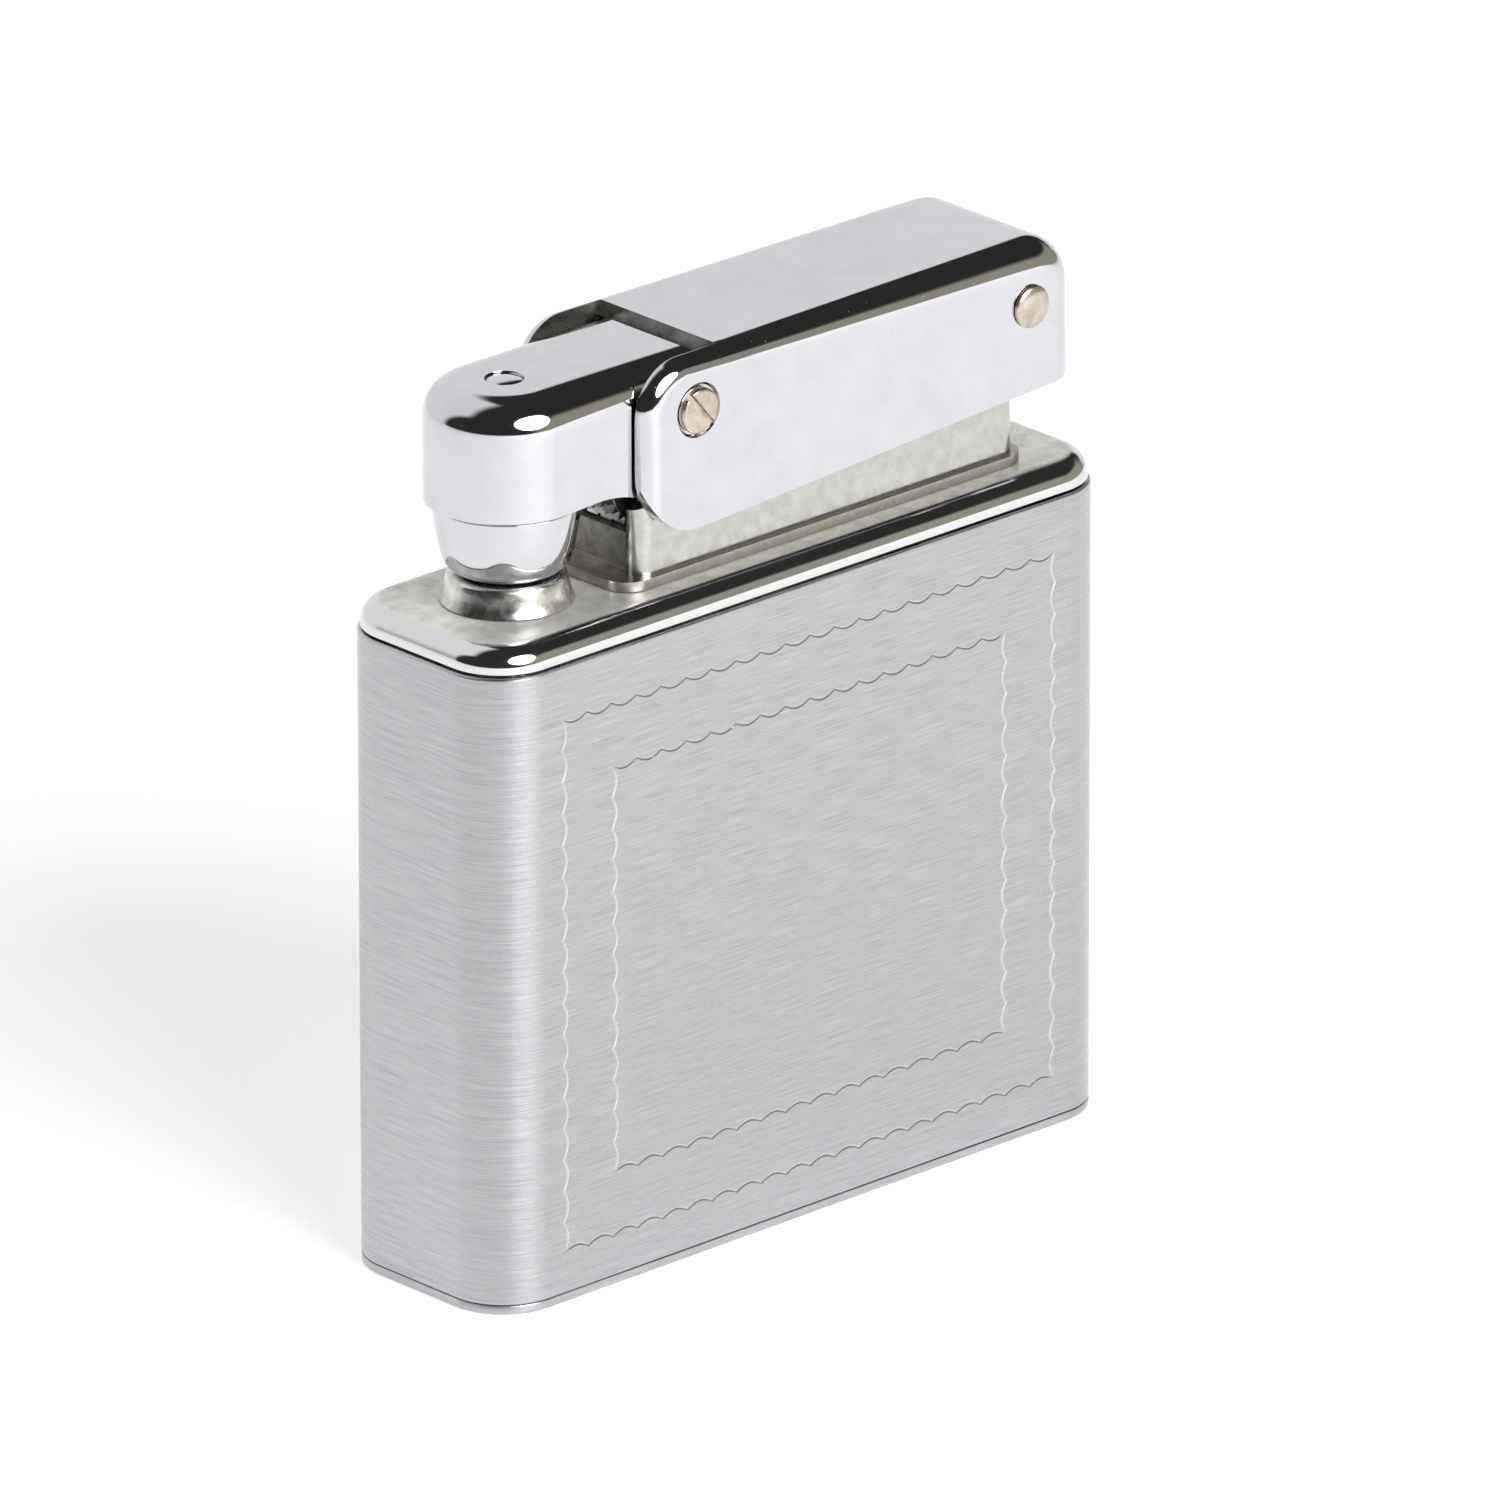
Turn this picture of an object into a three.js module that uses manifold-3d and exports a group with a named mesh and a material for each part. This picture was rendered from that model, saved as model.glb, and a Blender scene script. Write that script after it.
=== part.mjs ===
// Lift-arm petrol pocket lighter. Millimetres, +Z up, origin at the centre of the base.
// +X points to the thumb end of the lever, +Y to the back of the case.
import * as THREE from 'three';
import { mergeVertices } from 'three/addons/utils/BufferGeometryUtils.js';
import Module from 'manifold-3d';

// Case
const caseLength = 45.3;
const caseDepth = 13.1;
const cornerRadius = 3.5;
const sheet = 0.6;              // wall of the brass sleeve
const seam = 0.15;              // groove between sleeve and plates
const baseRim = 0.45;           // visible edge of the bottom plate
const sleeveTop = 36.4;
const deckTop = 38;             // upper face of the top plate
const deckInset = 0.15;
const deckRounding = 1.2;
const plugDrop = 0.4;           // lip of a plate inside the sleeve
const plugInset = sheet + seam;
const fit = 0.1;                // clearance of pieces fixed together
const running = 0.2;            // clearance of pieces that turn or slide

// Fuel tank
const tankInset = sheet + 0.3;
const tankWall = 0.5;
const tankBase = 1.75;
const tankTop = 35.25;

// Places along X of the upright axes
const wickX = -15.9;
const wheelX = -7.7;
const fillerX = 10;

// Pivots in the XZ plane
const armPivot = { x: -7.05, z: 47.8 };
const wheelAxis = { x: wheelX, z: 43.4 };
const leverPinAxis = { x: 17.2, z: 47.4 };
const linkPinAxis = { x: 9.44, z: 40.8 };

// Frame block under the lever
const blockLeft = -10.1;
const blockRight = 17.6;
const blockHalf = 4.05;
const wallThickness = 1;
const slotHalf = blockHalf - wallThickness;
const footBase = deckTop + 0.05;
const footTop = 38.6;
const floorTop = 38.9;
const wallTop = 45.2;

// Thumb lever
const leverTop = 50.8;
const leverHalf = 5.45;
const leverSheet = 0.95;
const cheekInner = leverHalf - leverSheet;
const leverFront = -10.8;
const leverRear = 20.8;
const leverLowRear = 42.6;       // lower edge of the cheeks at the thumb end
const leverHoodFront = -4.95;   // front edge of the top sheet between the cheeks
const leverRounding = 1.5;

// Snuffer arm
const capX = -16;
const capRadius = 4.39;
const capBore = 3.6;
const capRim = 43.8;
const capTop = 50.45;
const capRoof = 49.35;
const capRounding = 1.7;
const armHalf = 4.35;
const armEnd = -9.6;
const knuckleOuter = 2.4;
const knuckleInner = 1.65;
const heelReach = 3;            // distance of the driven heel from the pivot
const heelAngle = 22.5;         // degrees behind straight down at rest

// Shafts and pins
const pivotRadius = 0.75;
const axleRadius = 0.6;
const leverPinRadius = 0.8;
const linkPinRadius = 0.6;

// Spark wheel and flint
const wheelRadius = 3;
const wheelTeeth = 30;
const wheelHalf = 1.5;
const ratchetRadius = 2.6;
const ratchetTeeth = 12;
const ratchetFace = [1.65, 2.1];
const flintRadius = 1.2;
const flintTubeBore = 1.45;
const flintTubeRadius = 1.9;
const flintTubeTop = 39.6;

// Chimney and wick
const collarRadius = 3.45;
const collarTop = 39.5;
const cupBase = 39.65;
const cupRadius = 4;
const cupTop = 43.6;
const neckRadius = 2.9;
const neckTop = 44.3;
const wickTubeRadius = 1.9;
const wickRadius = 1.4;

const wasm = await Module();
wasm.setup();

const chrome = { color: 0xd6d7dc, roughness: 0.08, metalness: 1 };
const satinChrome = { color: 0xbebdc1, roughness: 0.35, metalness: 1 };
const nickel = { color: 0xb9a990, roughness: 0.25, metalness: 1 };
const steel = { color: 0x7e7f80, roughness: 0.4, metalness: 1 };
const brass = { color: 0xb5954f, roughness: 0.35, metalness: 1 };
const cotton = { color: 0xe6e1d4, roughness: 0.95, metalness: 0 };
const rubber = { color: 0x26241f, roughness: 0.8, metalness: 0 };
const flintStone = { color: 0x55504a, roughness: 0.7, metalness: 0.4 };

const lighter = new THREE.Group();

// Booleans on closed meshes

function toManifold(geometry) {
  const plain = geometry.clone();
  plain.deleteAttribute('normal');
  plain.deleteAttribute('uv');
  const merged = mergeVertices(plain.index ? plain.toNonIndexed() : plain, 1e-4);
  const solid = new wasm.Manifold(new wasm.Mesh({
    numProp: 3,
    vertProperties: new Float32Array(merged.attributes.position.array),
    triVerts: new Uint32Array(merged.index.array),
  }));
  return solid;
}

function toGeometry(manifold) {
  const mesh = manifold.getMesh();
  const geometry = new THREE.BufferGeometry();
  geometry.setAttribute('position', new THREE.BufferAttribute(new Float32Array(mesh.vertProperties), 3));
  geometry.setIndex(new THREE.BufferAttribute(new Uint32Array(mesh.triVerts), 1));
  return geometry;
}

function combine(first, others, step) {
  const result = others.reduce((solid, other) => step(solid, toManifold(other)), toManifold(first));
  return toGeometry(result);
}

const cut = (first, ...others) => combine(first, others, (a, b) => a.subtract(b));
const join = (first, ...others) => combine(first, others, (a, b) => a.add(b));
const keep = (first, ...others) => combine(first, others, (a, b) => a.intersect(b));

// Basic shapes

function roundedOutline(length, width, radius) {
  const x = length / 2;
  const y = width / 2;
  const shape = new THREE.Shape();
  shape.moveTo(-x + radius, -y);
  shape.lineTo(x - radius, -y);
  shape.absarc(x - radius, -y + radius, radius, -Math.PI / 2, 0, false);
  shape.lineTo(x, y - radius);
  shape.absarc(x - radius, y - radius, radius, 0, Math.PI / 2, false);
  shape.lineTo(-x + radius, y);
  shape.absarc(-x + radius, y - radius, radius, Math.PI / 2, Math.PI, false);
  shape.lineTo(-x, -y + radius);
  shape.absarc(-x + radius, -y + radius, radius, Math.PI, Math.PI * 1.5, false);
  return shape;
}

function slab(outline, bottom, top, curveSegments = 5) {
  const geometry = new THREE.ExtrudeGeometry(outline, { depth: top - bottom, bevelEnabled: false, curveSegments });
  return geometry.translate(0, 0, bottom);
}

// Case outline pulled in by an inset
function caseSlab(inset, bottom, top) {
  const outline = roundedOutline(caseLength - 2 * inset, caseDepth - 2 * inset, cornerRadius - inset);
  return slab(outline, bottom, top);
}

// Outline drawn in the XZ plane, given thickness from yLow to yHigh
function sidePlate(outline, yLow, yHigh, curveSegments = 6) {
  const geometry = new THREE.ExtrudeGeometry(outline, { depth: yHigh - yLow, bevelEnabled: false, curveSegments });
  return geometry.rotateX(Math.PI / 2).translate(0, yHigh, 0);
}

// The same, with its edges rounded at both faces
function roundedSidePlate(outline, half, radius) {
  const geometry = new THREE.ExtrudeGeometry(outline, {
    depth: 2 * (half - radius),
    bevelEnabled: true,
    bevelThickness: radius,
    bevelSize: radius,
    bevelOffset: -radius,
    bevelSegments: 3,
    curveSegments: 4,
  });
  return geometry.rotateX(Math.PI / 2).translate(0, half - radius, 0);
}

function polygon(points) {
  return new THREE.Shape(points.map(([x, z]) => new THREE.Vector2(x, z)));
}

function upright(radius, bottom, top, x = 0, segments = 24) {
  const geometry = new THREE.CylinderGeometry(radius, radius, top - bottom, segments);
  return geometry.rotateX(Math.PI / 2).translate(x, 0, (bottom + top) / 2);
}

// Cylinder along Y through a pivot
function crossPin(radius, yLow, yHigh, axis, segments = 20) {
  const geometry = new THREE.CylinderGeometry(radius, radius, yHigh - yLow, segments);
  return geometry.translate(axis.x, (yLow + yHigh) / 2, axis.z);
}

// Closed profile of [radius, height] pairs turned about an upright axis
function turned(profile, x = 0, segments = 28) {
  const points = profile.map(([radius, height]) => new THREE.Vector2(radius, height));
  return new THREE.LatheGeometry(points, segments).rotateX(Math.PI / 2).translate(x, 0, 0);
}

function ring(outer, inner, bottom, top, x, segments = 28) {
  return turned([[inner, bottom], [outer, bottom], [outer, top], [inner, top], [inner, bottom]], x, segments);
}

function box(xRange, yRange, zRange) {
  const size = [xRange, yRange, zRange].map(([low, high]) => high - low);
  const middle = [xRange, yRange, zRange].map(([low, high]) => (low + high) / 2);
  return new THREE.BoxGeometry(...size).translate(...middle);
}

// Wire wound about an axis; the start and direction place the coil
function coil({ radius, wire, length, turns, sides, stepsPerTurn }) {
  class Helix extends THREE.Curve {
    getPoint(t, target = new THREE.Vector3()) {
      const angle = t * turns * 2 * Math.PI;
      return target.set(radius * Math.cos(angle), radius * Math.sin(angle), wire + t * (length - 2 * wire));
    }
  }
  const section = new THREE.Shape();
  section.absarc(0, 0, wire, 0, 2 * Math.PI, false);
  return new THREE.ExtrudeGeometry(section, {
    extrudePath: new Helix(),
    steps: turns * stepsPerTurn,
    curveSegments: sides,
    bevelEnabled: false,
  });
}

// Screwdriver slot across an upright screw head
function headSlot(x, radius, width, bottom, top) {
  return box([x - radius - 1, x + radius + 1], [-width / 2, width / 2], [bottom, top]);
}

function addPart(name, geometry, finish) {
  const mesh = new THREE.Mesh(geometry, new THREE.MeshStandardMaterial(finish));
  mesh.name = name;
  lighter.add(mesh);
}

// Case and fuel

function bottomPlate() {
  const rim = caseSlab(0, 0, baseRim);
  const plug = caseSlab(plugInset, baseRim, baseRim + plugDrop + 0.4);
  const screwHole = upright(2.35, -1, 2, wheelX);
  const fillerHole = upright(2.85, -1, 2, fillerX);
  return cut(join(rim, plug), screwHole, fillerHole);
}

function caseSleeve() {
  return cut(caseSlab(0, baseRim + fit, sleeveTop), caseSlab(sheet, 0, sleeveTop + 1));
}

function fuelTank() {
  const outer = caseSlab(tankInset, tankBase, tankTop);
  const inner = caseSlab(tankInset + tankWall, tankBase + tankWall, tankTop - tankWall);
  const flintHole = upright(flintTubeRadius + fit, 0, 40, wheelX);
  const wickHole = upright(wickTubeRadius + fit, 30, 40, wickX);
  const fillerHole = upright(1.8, 0, 5, fillerX);
  return cut(outer, inner, flintHole, wickHole, fillerHole);
}

function wadding() {
  const inset = tankInset + tankWall + 0.3;
  const block = caseSlab(inset, tankBase + tankWall + 0.3, tankTop - tankWall - 0.3);
  const flintBore = upright(flintTubeRadius + 0.3, 0, 40, wheelX);
  const wickBore = upright(wickTubeRadius + 0.3, 14, 40, wickX);
  const fillerHollow = upright(2.2, 0, 5, fillerX);
  return cut(block, flintBore, wickBore, fillerHollow);
}

function topPlate() {
  const base = sleeveTop + seam;
  const outline = roundedOutline(caseLength - 2 * deckInset, caseDepth - 2 * deckInset, cornerRadius - deckInset);
  const rounded = new THREE.ExtrudeGeometry(outline, {
    depth: deckTop - base,
    bevelEnabled: true,
    bevelThickness: deckRounding,
    bevelSize: deckRounding,
    bevelOffset: -deckRounding,
    bevelSegments: 4,
    curveSegments: 5,
  }).translate(0, 0, base - deckRounding);
  const deck = keep(rounded, box([-30, 30], [-10, 10], [base, deckTop]));
  const plug = caseSlab(plugInset, base - plugDrop, base);
  const wickHole = upright(wickTubeRadius + fit, 30, 40, wickX);
  const flintHole = upright(flintTubeRadius + fit, 30, 40, wheelX);
  const rivetHoles = frameRivetPlaces.map((x) => upright(0.7, 30, 40, x, 16));
  return cut(join(deck, plug), wickHole, flintHole, ...rivetHoles);
}

// Mechanism frame

const frameRivetPlaces = [-1.2, 14.2];
const springStop = [-3.9, -3.2];

function wallOutline() {
  const lug = 1.4;
  const { x, z } = armPivot;
  const shape = new THREE.Shape();
  shape.moveTo(blockLeft, footBase);
  shape.lineTo(blockRight, footBase);
  shape.lineTo(blockRight, 42.2);
  shape.lineTo(15.6, 42.2);
  shape.lineTo(14.6, wallTop);
  shape.lineTo(x + 1.2, wallTop);
  shape.lineTo(x + 1.2, z - 0.7);
  shape.absarc(x, z, lug, -Math.PI / 6, Math.PI * 5 / 6, false);
  shape.lineTo(-9.25, 46.8);
  shape.lineTo(-9.25, 42.6);
  shape.lineTo(blockLeft, 42.3);
  return shape;
}

function mechanismFrame() {
  const blockOutline = roundedOutline(blockRight - blockLeft, 2 * blockHalf, 1);
  const blockMiddle = (blockLeft + blockRight) / 2;
  const prism = slab(blockOutline, footBase, 60).translate(blockMiddle, 0, 0);
  const walls = keep(sidePlate(wallOutline(), -blockHalf, blockHalf), prism);
  const channel = box([blockLeft - 2, blockRight + 2], [-slotHalf, slotHalf], [floorTop, 60]);
  const foot = slab(roundedOutline(29.6, 8.8, 1.5), footBase, footTop).translate(3.4, 0, 0);
  const stop = box(springStop, [-slotHalf - 0.1, slotHalf + 0.1], [floorTop - 0.1, 42.4]);
  const frame = join(cut(walls, channel), foot, stop);
  return cut(
    frame,
    upright(flintTubeRadius + fit, 30, 40, wheelX),
    crossPin(pivotRadius + 0.08, -9, 9, armPivot),
    crossPin(axleRadius + 0.08, -9, 9, wheelAxis),
    ...frameRivetPlaces.map((x) => upright(0.7, 30, 39.5, x, 16)),
  );
}

function frameRivet(x) {
  return turned([[0, 36.2], [0.6, 36.2], [0.6, 38.95], [1.1, 38.95], [0.8, 39.1], [0, 39.15]], x, 16);
}

// Chimney and wick

function chimneyCollar() {
  const bore = 2.3;
  return turned([
    [bore, deckTop + 0.05], [collarRadius + 0.35, deckTop + 0.05], [collarRadius + 0.08, deckTop + 0.35],
    [collarRadius, deckTop + 0.7], [collarRadius, collarTop - 0.1], [collarRadius - 0.15, collarTop],
    [bore, collarTop], [bore, deckTop + 0.05],
  ], wickX);
}

function chimneyCup() {
  return turned([
    [2.3, cupBase], [3.1, cupBase], [3.42, cupBase + 0.35], [3.6, cupBase + 1], [3.82, cupBase + 2],
    [3.95, cupBase + 3], [cupRadius, cupTop - 0.1], [cupRadius - 0.1, cupTop], [neckRadius, cupTop],
    [neckRadius, neckTop], [2.3, neckTop], [2.3, cupBase],
  ], wickX);
}

function wick() {
  return turned([[0, 15], [wickRadius, 15], [wickRadius, 44.9], [wickRadius - 0.4, 45.25], [0, 45.3]], wickX, 16);
}

// Snuffer arm

function capSolid() {
  const steps = 4;
  const profile = [[0, capRim], [capRadius, capRim]];
  for (let i = 0; i <= steps; i += 1) {
    const angle = (i / steps) * Math.PI / 2;
    profile.push([
      capRadius - capRounding + capRounding * Math.cos(angle),
      capTop - capRounding + capRounding * Math.sin(angle),
    ]);
  }
  profile.push([0, capTop]);
  return turned(profile, capX, 36);
}

// Outline of the arm from the cap to the rear of its knuckle, seen from the side
function armOutline() {
  const { x, z } = armPivot;
  const shape = new THREE.Shape();
  shape.moveTo(capX, 40);
  shape.lineTo(armEnd, 40);
  shape.lineTo(armEnd, z + knuckleInner);
  shape.lineTo(x, z + knuckleInner);
  shape.absarc(x, z, knuckleInner, Math.PI / 2, Math.PI / 18, true);
  shape.absarc(x, z, knuckleOuter, Math.PI / 18, Math.PI / 2, false);
  shape.lineTo(capX, capTop);
  return shape;
}

// The sides of the arm end low, in a shallow arch that drops towards the pivot
function armUnderside() {
  const shape = new THREE.Shape();
  shape.moveTo(capX - 6, 39);
  shape.lineTo(armEnd + 1, 39);
  shape.lineTo(armEnd + 1, 42.8);
  shape.lineTo(armEnd, 42.95);
  shape.quadraticCurveTo(-11.2, 43.95, -13.4, 43.9);
  shape.lineTo(-15.4, capRim);
  shape.lineTo(capX - 6, capRim);
  return shape;
}

function armHull() {
  const { x, z } = armPivot;
  const shape = new THREE.Shape();
  shape.moveTo(capX, 38);
  shape.lineTo(x + knuckleOuter, 38);
  shape.lineTo(x + knuckleOuter, z);
  shape.absarc(x, z, knuckleOuter, 0, Math.PI / 2, false);
  shape.lineTo(capX, capTop);
  return roundedSidePlate(shape, armHalf, capRounding - 0.2);
}

function heelPlace() {
  const angle = heelAngle * Math.PI / 180;
  return { x: armPivot.x + heelReach * Math.sin(angle), z: armPivot.z - heelReach * Math.cos(angle) };
}

function armLug(side) {
  const heel = heelPlace();
  const outline = polygon([
    [-9.2, 49.6], [-8.7, 47.2], [-7.6, 45.9], [heel.x - 0.5, heel.z],
    [heel.x + 0.5, heel.z], [heel.x + 0.15, 45.9], [-5.4, 47.2], [-5.2, 48], [-5.6, 49.2], [-7, 49.7],
  ]);
  const [low, high] = side > 0 ? [2.35, 2.9] : [-2.9, -2.35];
  return join(sidePlate(outline, low, high), crossPin(0.5, low, high, heel, 16));
}

function snufferArm() {
  const bridge = keep(armHull(), sidePlate(armOutline(), -armHalf, armHalf));
  const shell = cut(
    join(bridge, capSolid()),
    sidePlate(armUnderside(), -8, 8),
    upright(capBore, 40, capRoof, capX, 32),
    box([-11.55, armEnd + 1], [-3.5, 3.5], [40, armPivot.z + knuckleInner]),
    box([-11.9, -11.1], [-3.5, 3.5], [40, capRoof]),
    upright(0.7, 45, 60, capX, 16),
    upright(1.15, capTop - 0.35, 60, capX),
  );
  const cheekRelief = [-1, 1].map((side) => box([armEnd, 0], side > 0 ? [4.25, 6] : [-6, -4.25], [40, 60]));
  const arm = join(cut(shell, ...cheekRelief), armLug(1), armLug(-1));
  return cut(arm, crossPin(pivotRadius + running, -9, 9, armPivot));
}

function snufferSeal() {
  return cut(
    upright(3.4, 44.6, 47.3, capX),
    upright(2.1, 44, 46.6, wickX, 20),
    upright(0.7, 40, 50, capX, 16),
  );
}

function snufferRivet() {
  return turned([
    [0, 46.25], [1.2, 46.25], [1.2, 46.5], [0.6, 46.55], [0.6, capTop - 0.3], [1.05, capTop - 0.3],
    [1.05, capTop - 0.08], [0.75, capTop], [0, capTop],
  ], capX, 20);
}

// Pawl that hangs inside the arm and pulls the ratchet up on its left side
function drivePawl() {
  const outline = polygon([
    [-11.5, 49.2], [-11.5, 44.1], [-10.75, 44.3], [-10.55, 44.75], [-11.1, 44.9], [-11.1, 49.2],
  ]);
  return sidePlate(outline, ...ratchetFace);
}

// Thumb lever

function leverOutline(bottom) {
  const corner = 1.6;
  const shape = new THREE.Shape();
  shape.moveTo(leverFront, bottom);
  shape.lineTo(leverRear + 0.15, bottom);
  shape.lineTo(leverRear, leverTop - corner);
  shape.absarc(leverRear - corner, leverTop - corner, corner, 0, Math.PI / 2, false);
  shape.lineTo(leverFront + corner, leverTop);
  shape.absarc(leverFront + corner, leverTop - corner, corner, Math.PI / 2, Math.PI, false);
  return shape;
}

// What is left of the cheeks below the outline: the sloping lower edge with its rounded ends
function leverSides() {
  const frontRadius = 3.8;
  const rearRadius = 1.8;
  const shape = new THREE.Shape();
  shape.moveTo(leverFront, 52);
  shape.lineTo(leverFront, 44.9);
  shape.absarc(leverFront + frontRadius, 44.9, frontRadius, Math.PI, Math.PI * 1.52, false);
  shape.lineTo(leverRear - 1.5, leverLowRear);
  shape.absarc(leverRear + 0.2 - rearRadius, leverLowRear + rearRadius, rearRadius, -Math.PI / 2, 0, false);
  shape.lineTo(leverRear + 0.2, 52);
  return shape;
}

function thumbLever() {
  const low = 38;
  const outer = keep(
    roundedSidePlate(leverOutline(low), leverHalf, leverRounding),
    sidePlate(leverSides(), -leverHalf, leverHalf, 8),
  );
  const inside = box([leverFront - 1, leverRear - leverSheet], [-cheekInner, cheekInner], [low, leverTop - leverSheet]);
  const mouth = box([leverFront - 1, leverHoodFront], [-cheekInner, cheekInner], [low, leverTop + 1]);
  return cut(
    outer,
    inside,
    mouth,
    crossPin(pivotRadius + running, -9, 9, armPivot),
    crossPin(leverPinRadius + 0.08, -9, 9, leverPinAxis),
  );
}

// Pin along Y from a profile of [radius, y] pairs, low y first
function crossTurned(profile, axis, segments = 24) {
  const points = profile.map(([radius, y]) => new THREE.Vector2(radius, y));
  return new THREE.LatheGeometry(points, segments).translate(axis.x, 0, axis.z);
}

function leverPin() {
  const head = -leverHalf - 0.05;
  return crossTurned([
    [0, head - 0.38], [0.6, head - 0.33], [1, head - 0.18], [1.2, head],
    [leverPinRadius, head], [leverPinRadius, leverHalf + 0.05], [0, leverHalf + 0.15],
  ], leverPinAxis);
}

function pivotScrew() {
  const head = -leverHalf - 0.08;
  const height = 0.5;
  const slotWidth = 0.32;
  const slotAngle = 50 * Math.PI / 180;
  const screw = crossTurned([
    [0, head - height], [1.15, head - height], [1.28, head - height + 0.12], [1.28, head],
    [pivotRadius, head], [pivotRadius, leverHalf], [pivotRadius - 0.15, leverHalf + 0.15], [0, leverHalf + 0.15],
  ], armPivot);
  const slot = new THREE.BoxGeometry(4, 0.6, slotWidth)
    .rotateY(slotAngle)
    .translate(armPivot.x, head - height, armPivot.z);
  return cut(screw, slot);
}

function pivotBush() {
  return crossTurned([
    [pivotRadius + 0.08, -2.2], [1.05, -2.2], [1.05, 2.2], [pivotRadius + 0.08, 2.2], [pivotRadius + 0.08, -2.2],
  ], armPivot, 20);
}

// Push mechanism: the lever pin pushes a toggle link, the link a bar, the bar the heels of the arm

function toggleLink() {
  const half = 0.8;
  const radius = 1.35;
  const dx = leverPinAxis.x - linkPinAxis.x;
  const dz = leverPinAxis.z - linkPinAxis.z;
  const angle = Math.atan2(dz, dx);
  const outline = new THREE.Shape();
  outline.absarc(linkPinAxis.x, linkPinAxis.z, radius, angle + Math.PI / 2, angle + Math.PI * 1.5, false);
  outline.absarc(leverPinAxis.x, leverPinAxis.z, radius, angle - Math.PI / 2, angle + Math.PI / 2, false);
  return cut(
    sidePlate(outline, -half, half),
    crossPin(leverPinRadius + running, -3, 3, leverPinAxis),
    crossPin(linkPinRadius + 0.35, -3, 3, linkPinAxis),
  );
}

const barHalf = 2.85;
const linkGapHalf = 1.05;
const springSeat = [7.35, 7.85];

function pushBar() {
  const heel = heelPlace();
  const face = heel.x + 0.85;
  const side = polygon([
    [7.35, 39.05], [11, 39.05], [11, 42.6], [8.8, 44.2], [-2, 44.3],
    [face + 0.4, 45.3], [face, 45.3], [face, 44.5], [face + 0.6, 44.1], [-2, 43], [7.35, 42.9],
  ]);
  return cut(
    sidePlate(side, -barHalf, barHalf),
    box([face - 1, -1.9], [-2.3, 2.3], [40, 50]),
    box([springSeat[1], 12], [-linkGapHalf, linkGapHalf], [38, 50]),
    crossPin(linkPinRadius + 0.06, -5, 5, linkPinAxis),
  );
}

function linkPin() {
  return crossPin(linkPinRadius, -barHalf + 0.05, barHalf - 0.05, linkPinAxis, 16);
}

function returnSpring() {
  const start = springStop[1] + 0.1;
  const length = springSeat[0] - 0.1 - start;
  return coil({ radius: 1.35, wire: 0.2, length, turns: 9, sides: 3, stepsPerTurn: 8 })
    .rotateY(Math.PI / 2)
    .translate(start, 0, 40.95);
}

// Spark wheel

function toothedOutline(teeth, tip, root, lean) {
  const points = [];
  for (let i = 0; i < teeth; i += 1) {
    const tipAngle = (i / teeth) * 2 * Math.PI;
    const rootAngle = ((i + lean) / teeth) * 2 * Math.PI;
    points.push([tip * Math.cos(tipAngle), tip * Math.sin(tipAngle)]);
    points.push([root * Math.cos(rootAngle), root * Math.sin(rootAngle)]);
  }
  const outline = polygon(points);
  const bore = new THREE.Path();
  bore.absarc(0, 0, axleRadius + 0.12, 0, 2 * Math.PI, true);
  outline.holes.push(bore);
  return outline;
}

function sparkWheel() {
  const outline = toothedOutline(wheelTeeth, wheelRadius, wheelRadius - 0.3, 0.5);
  return sidePlate(outline, -wheelHalf, wheelHalf, 5).translate(wheelAxis.x, 0, wheelAxis.z);
}

function ratchetWheel() {
  const outline = toothedOutline(ratchetTeeth, ratchetRadius, ratchetRadius - 0.45, 0.15);
  return sidePlate(outline, ...ratchetFace, 5).translate(wheelAxis.x, 0, wheelAxis.z);
}

// Flint train, upright under the wheel

function flintTube() {
  return ring(flintTubeRadius, flintTubeBore, tankBase, flintTubeTop, wheelX, 20);
}

function flint() {
  return upright(flintRadius, 35.6, 40.2, wheelX, 16);
}

function flintSpring() {
  return coil({ radius: 1, wire: 0.18, length: 29.6, turns: 11, sides: 3, stepsPerTurn: 8 }).translate(wheelX, 0, 5.8);
}

function flintScrew() {
  const screw = turned([
    [0, 0.2], [2.05, 0.2], [2.2, 0.35], [2.2, 1.55], [1.3, 1.55], [1.3, 5.6], [0, 5.6],
  ], wheelX, 24);
  return cut(screw, headSlot(wheelX, 2.2, 0.6, 0, 0.75));
}

// Filler in the base

function fillerScrew() {
  const screw = turned([
    [0, 0.2], [2.5, 0.2], [2.7, 0.4], [2.7, 1.2], [1.6, 1.2], [1.6, 4.2], [0, 4.2],
  ], fillerX, 28);
  return cut(screw, headSlot(fillerX, 2.7, 0.9, 0, 0.8));
}

function fillerWasher() {
  return ring(2.6, 1.7, 1.28, 1.68, fillerX, 24);
}

addPart('bottom_plate', bottomPlate(), satinChrome);
addPart('case_sleeve', caseSleeve(), satinChrome);
addPart('fuel_tank', fuelTank(), brass);
addPart('wadding', wadding(), cotton);
addPart('top_plate', topPlate(), chrome);
addPart('mechanism_frame', mechanismFrame(), chrome);
frameRivetPlaces.forEach((x, i) => addPart(`frame_rivet_${i + 1}`, frameRivet(x), steel));
addPart('chimney_collar', chimneyCollar(), chrome);
addPart('chimney_cup', chimneyCup(), chrome);
addPart('wick_tube', ring(wickTubeRadius, wickRadius + fit, 30.5, 43.9, wickX, 20), brass);
addPart('wick', wick(), cotton);
addPart('snuffer_arm', snufferArm(), chrome);
addPart('snuffer_seal', snufferSeal(), rubber);
addPart('snuffer_rivet', snufferRivet(), chrome);
addPart('drive_pawl', drivePawl(), steel);
addPart('thumb_lever', thumbLever(), chrome);
addPart('lever_pin', leverPin(), nickel);
addPart('pivot_screw', pivotScrew(), nickel);
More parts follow.
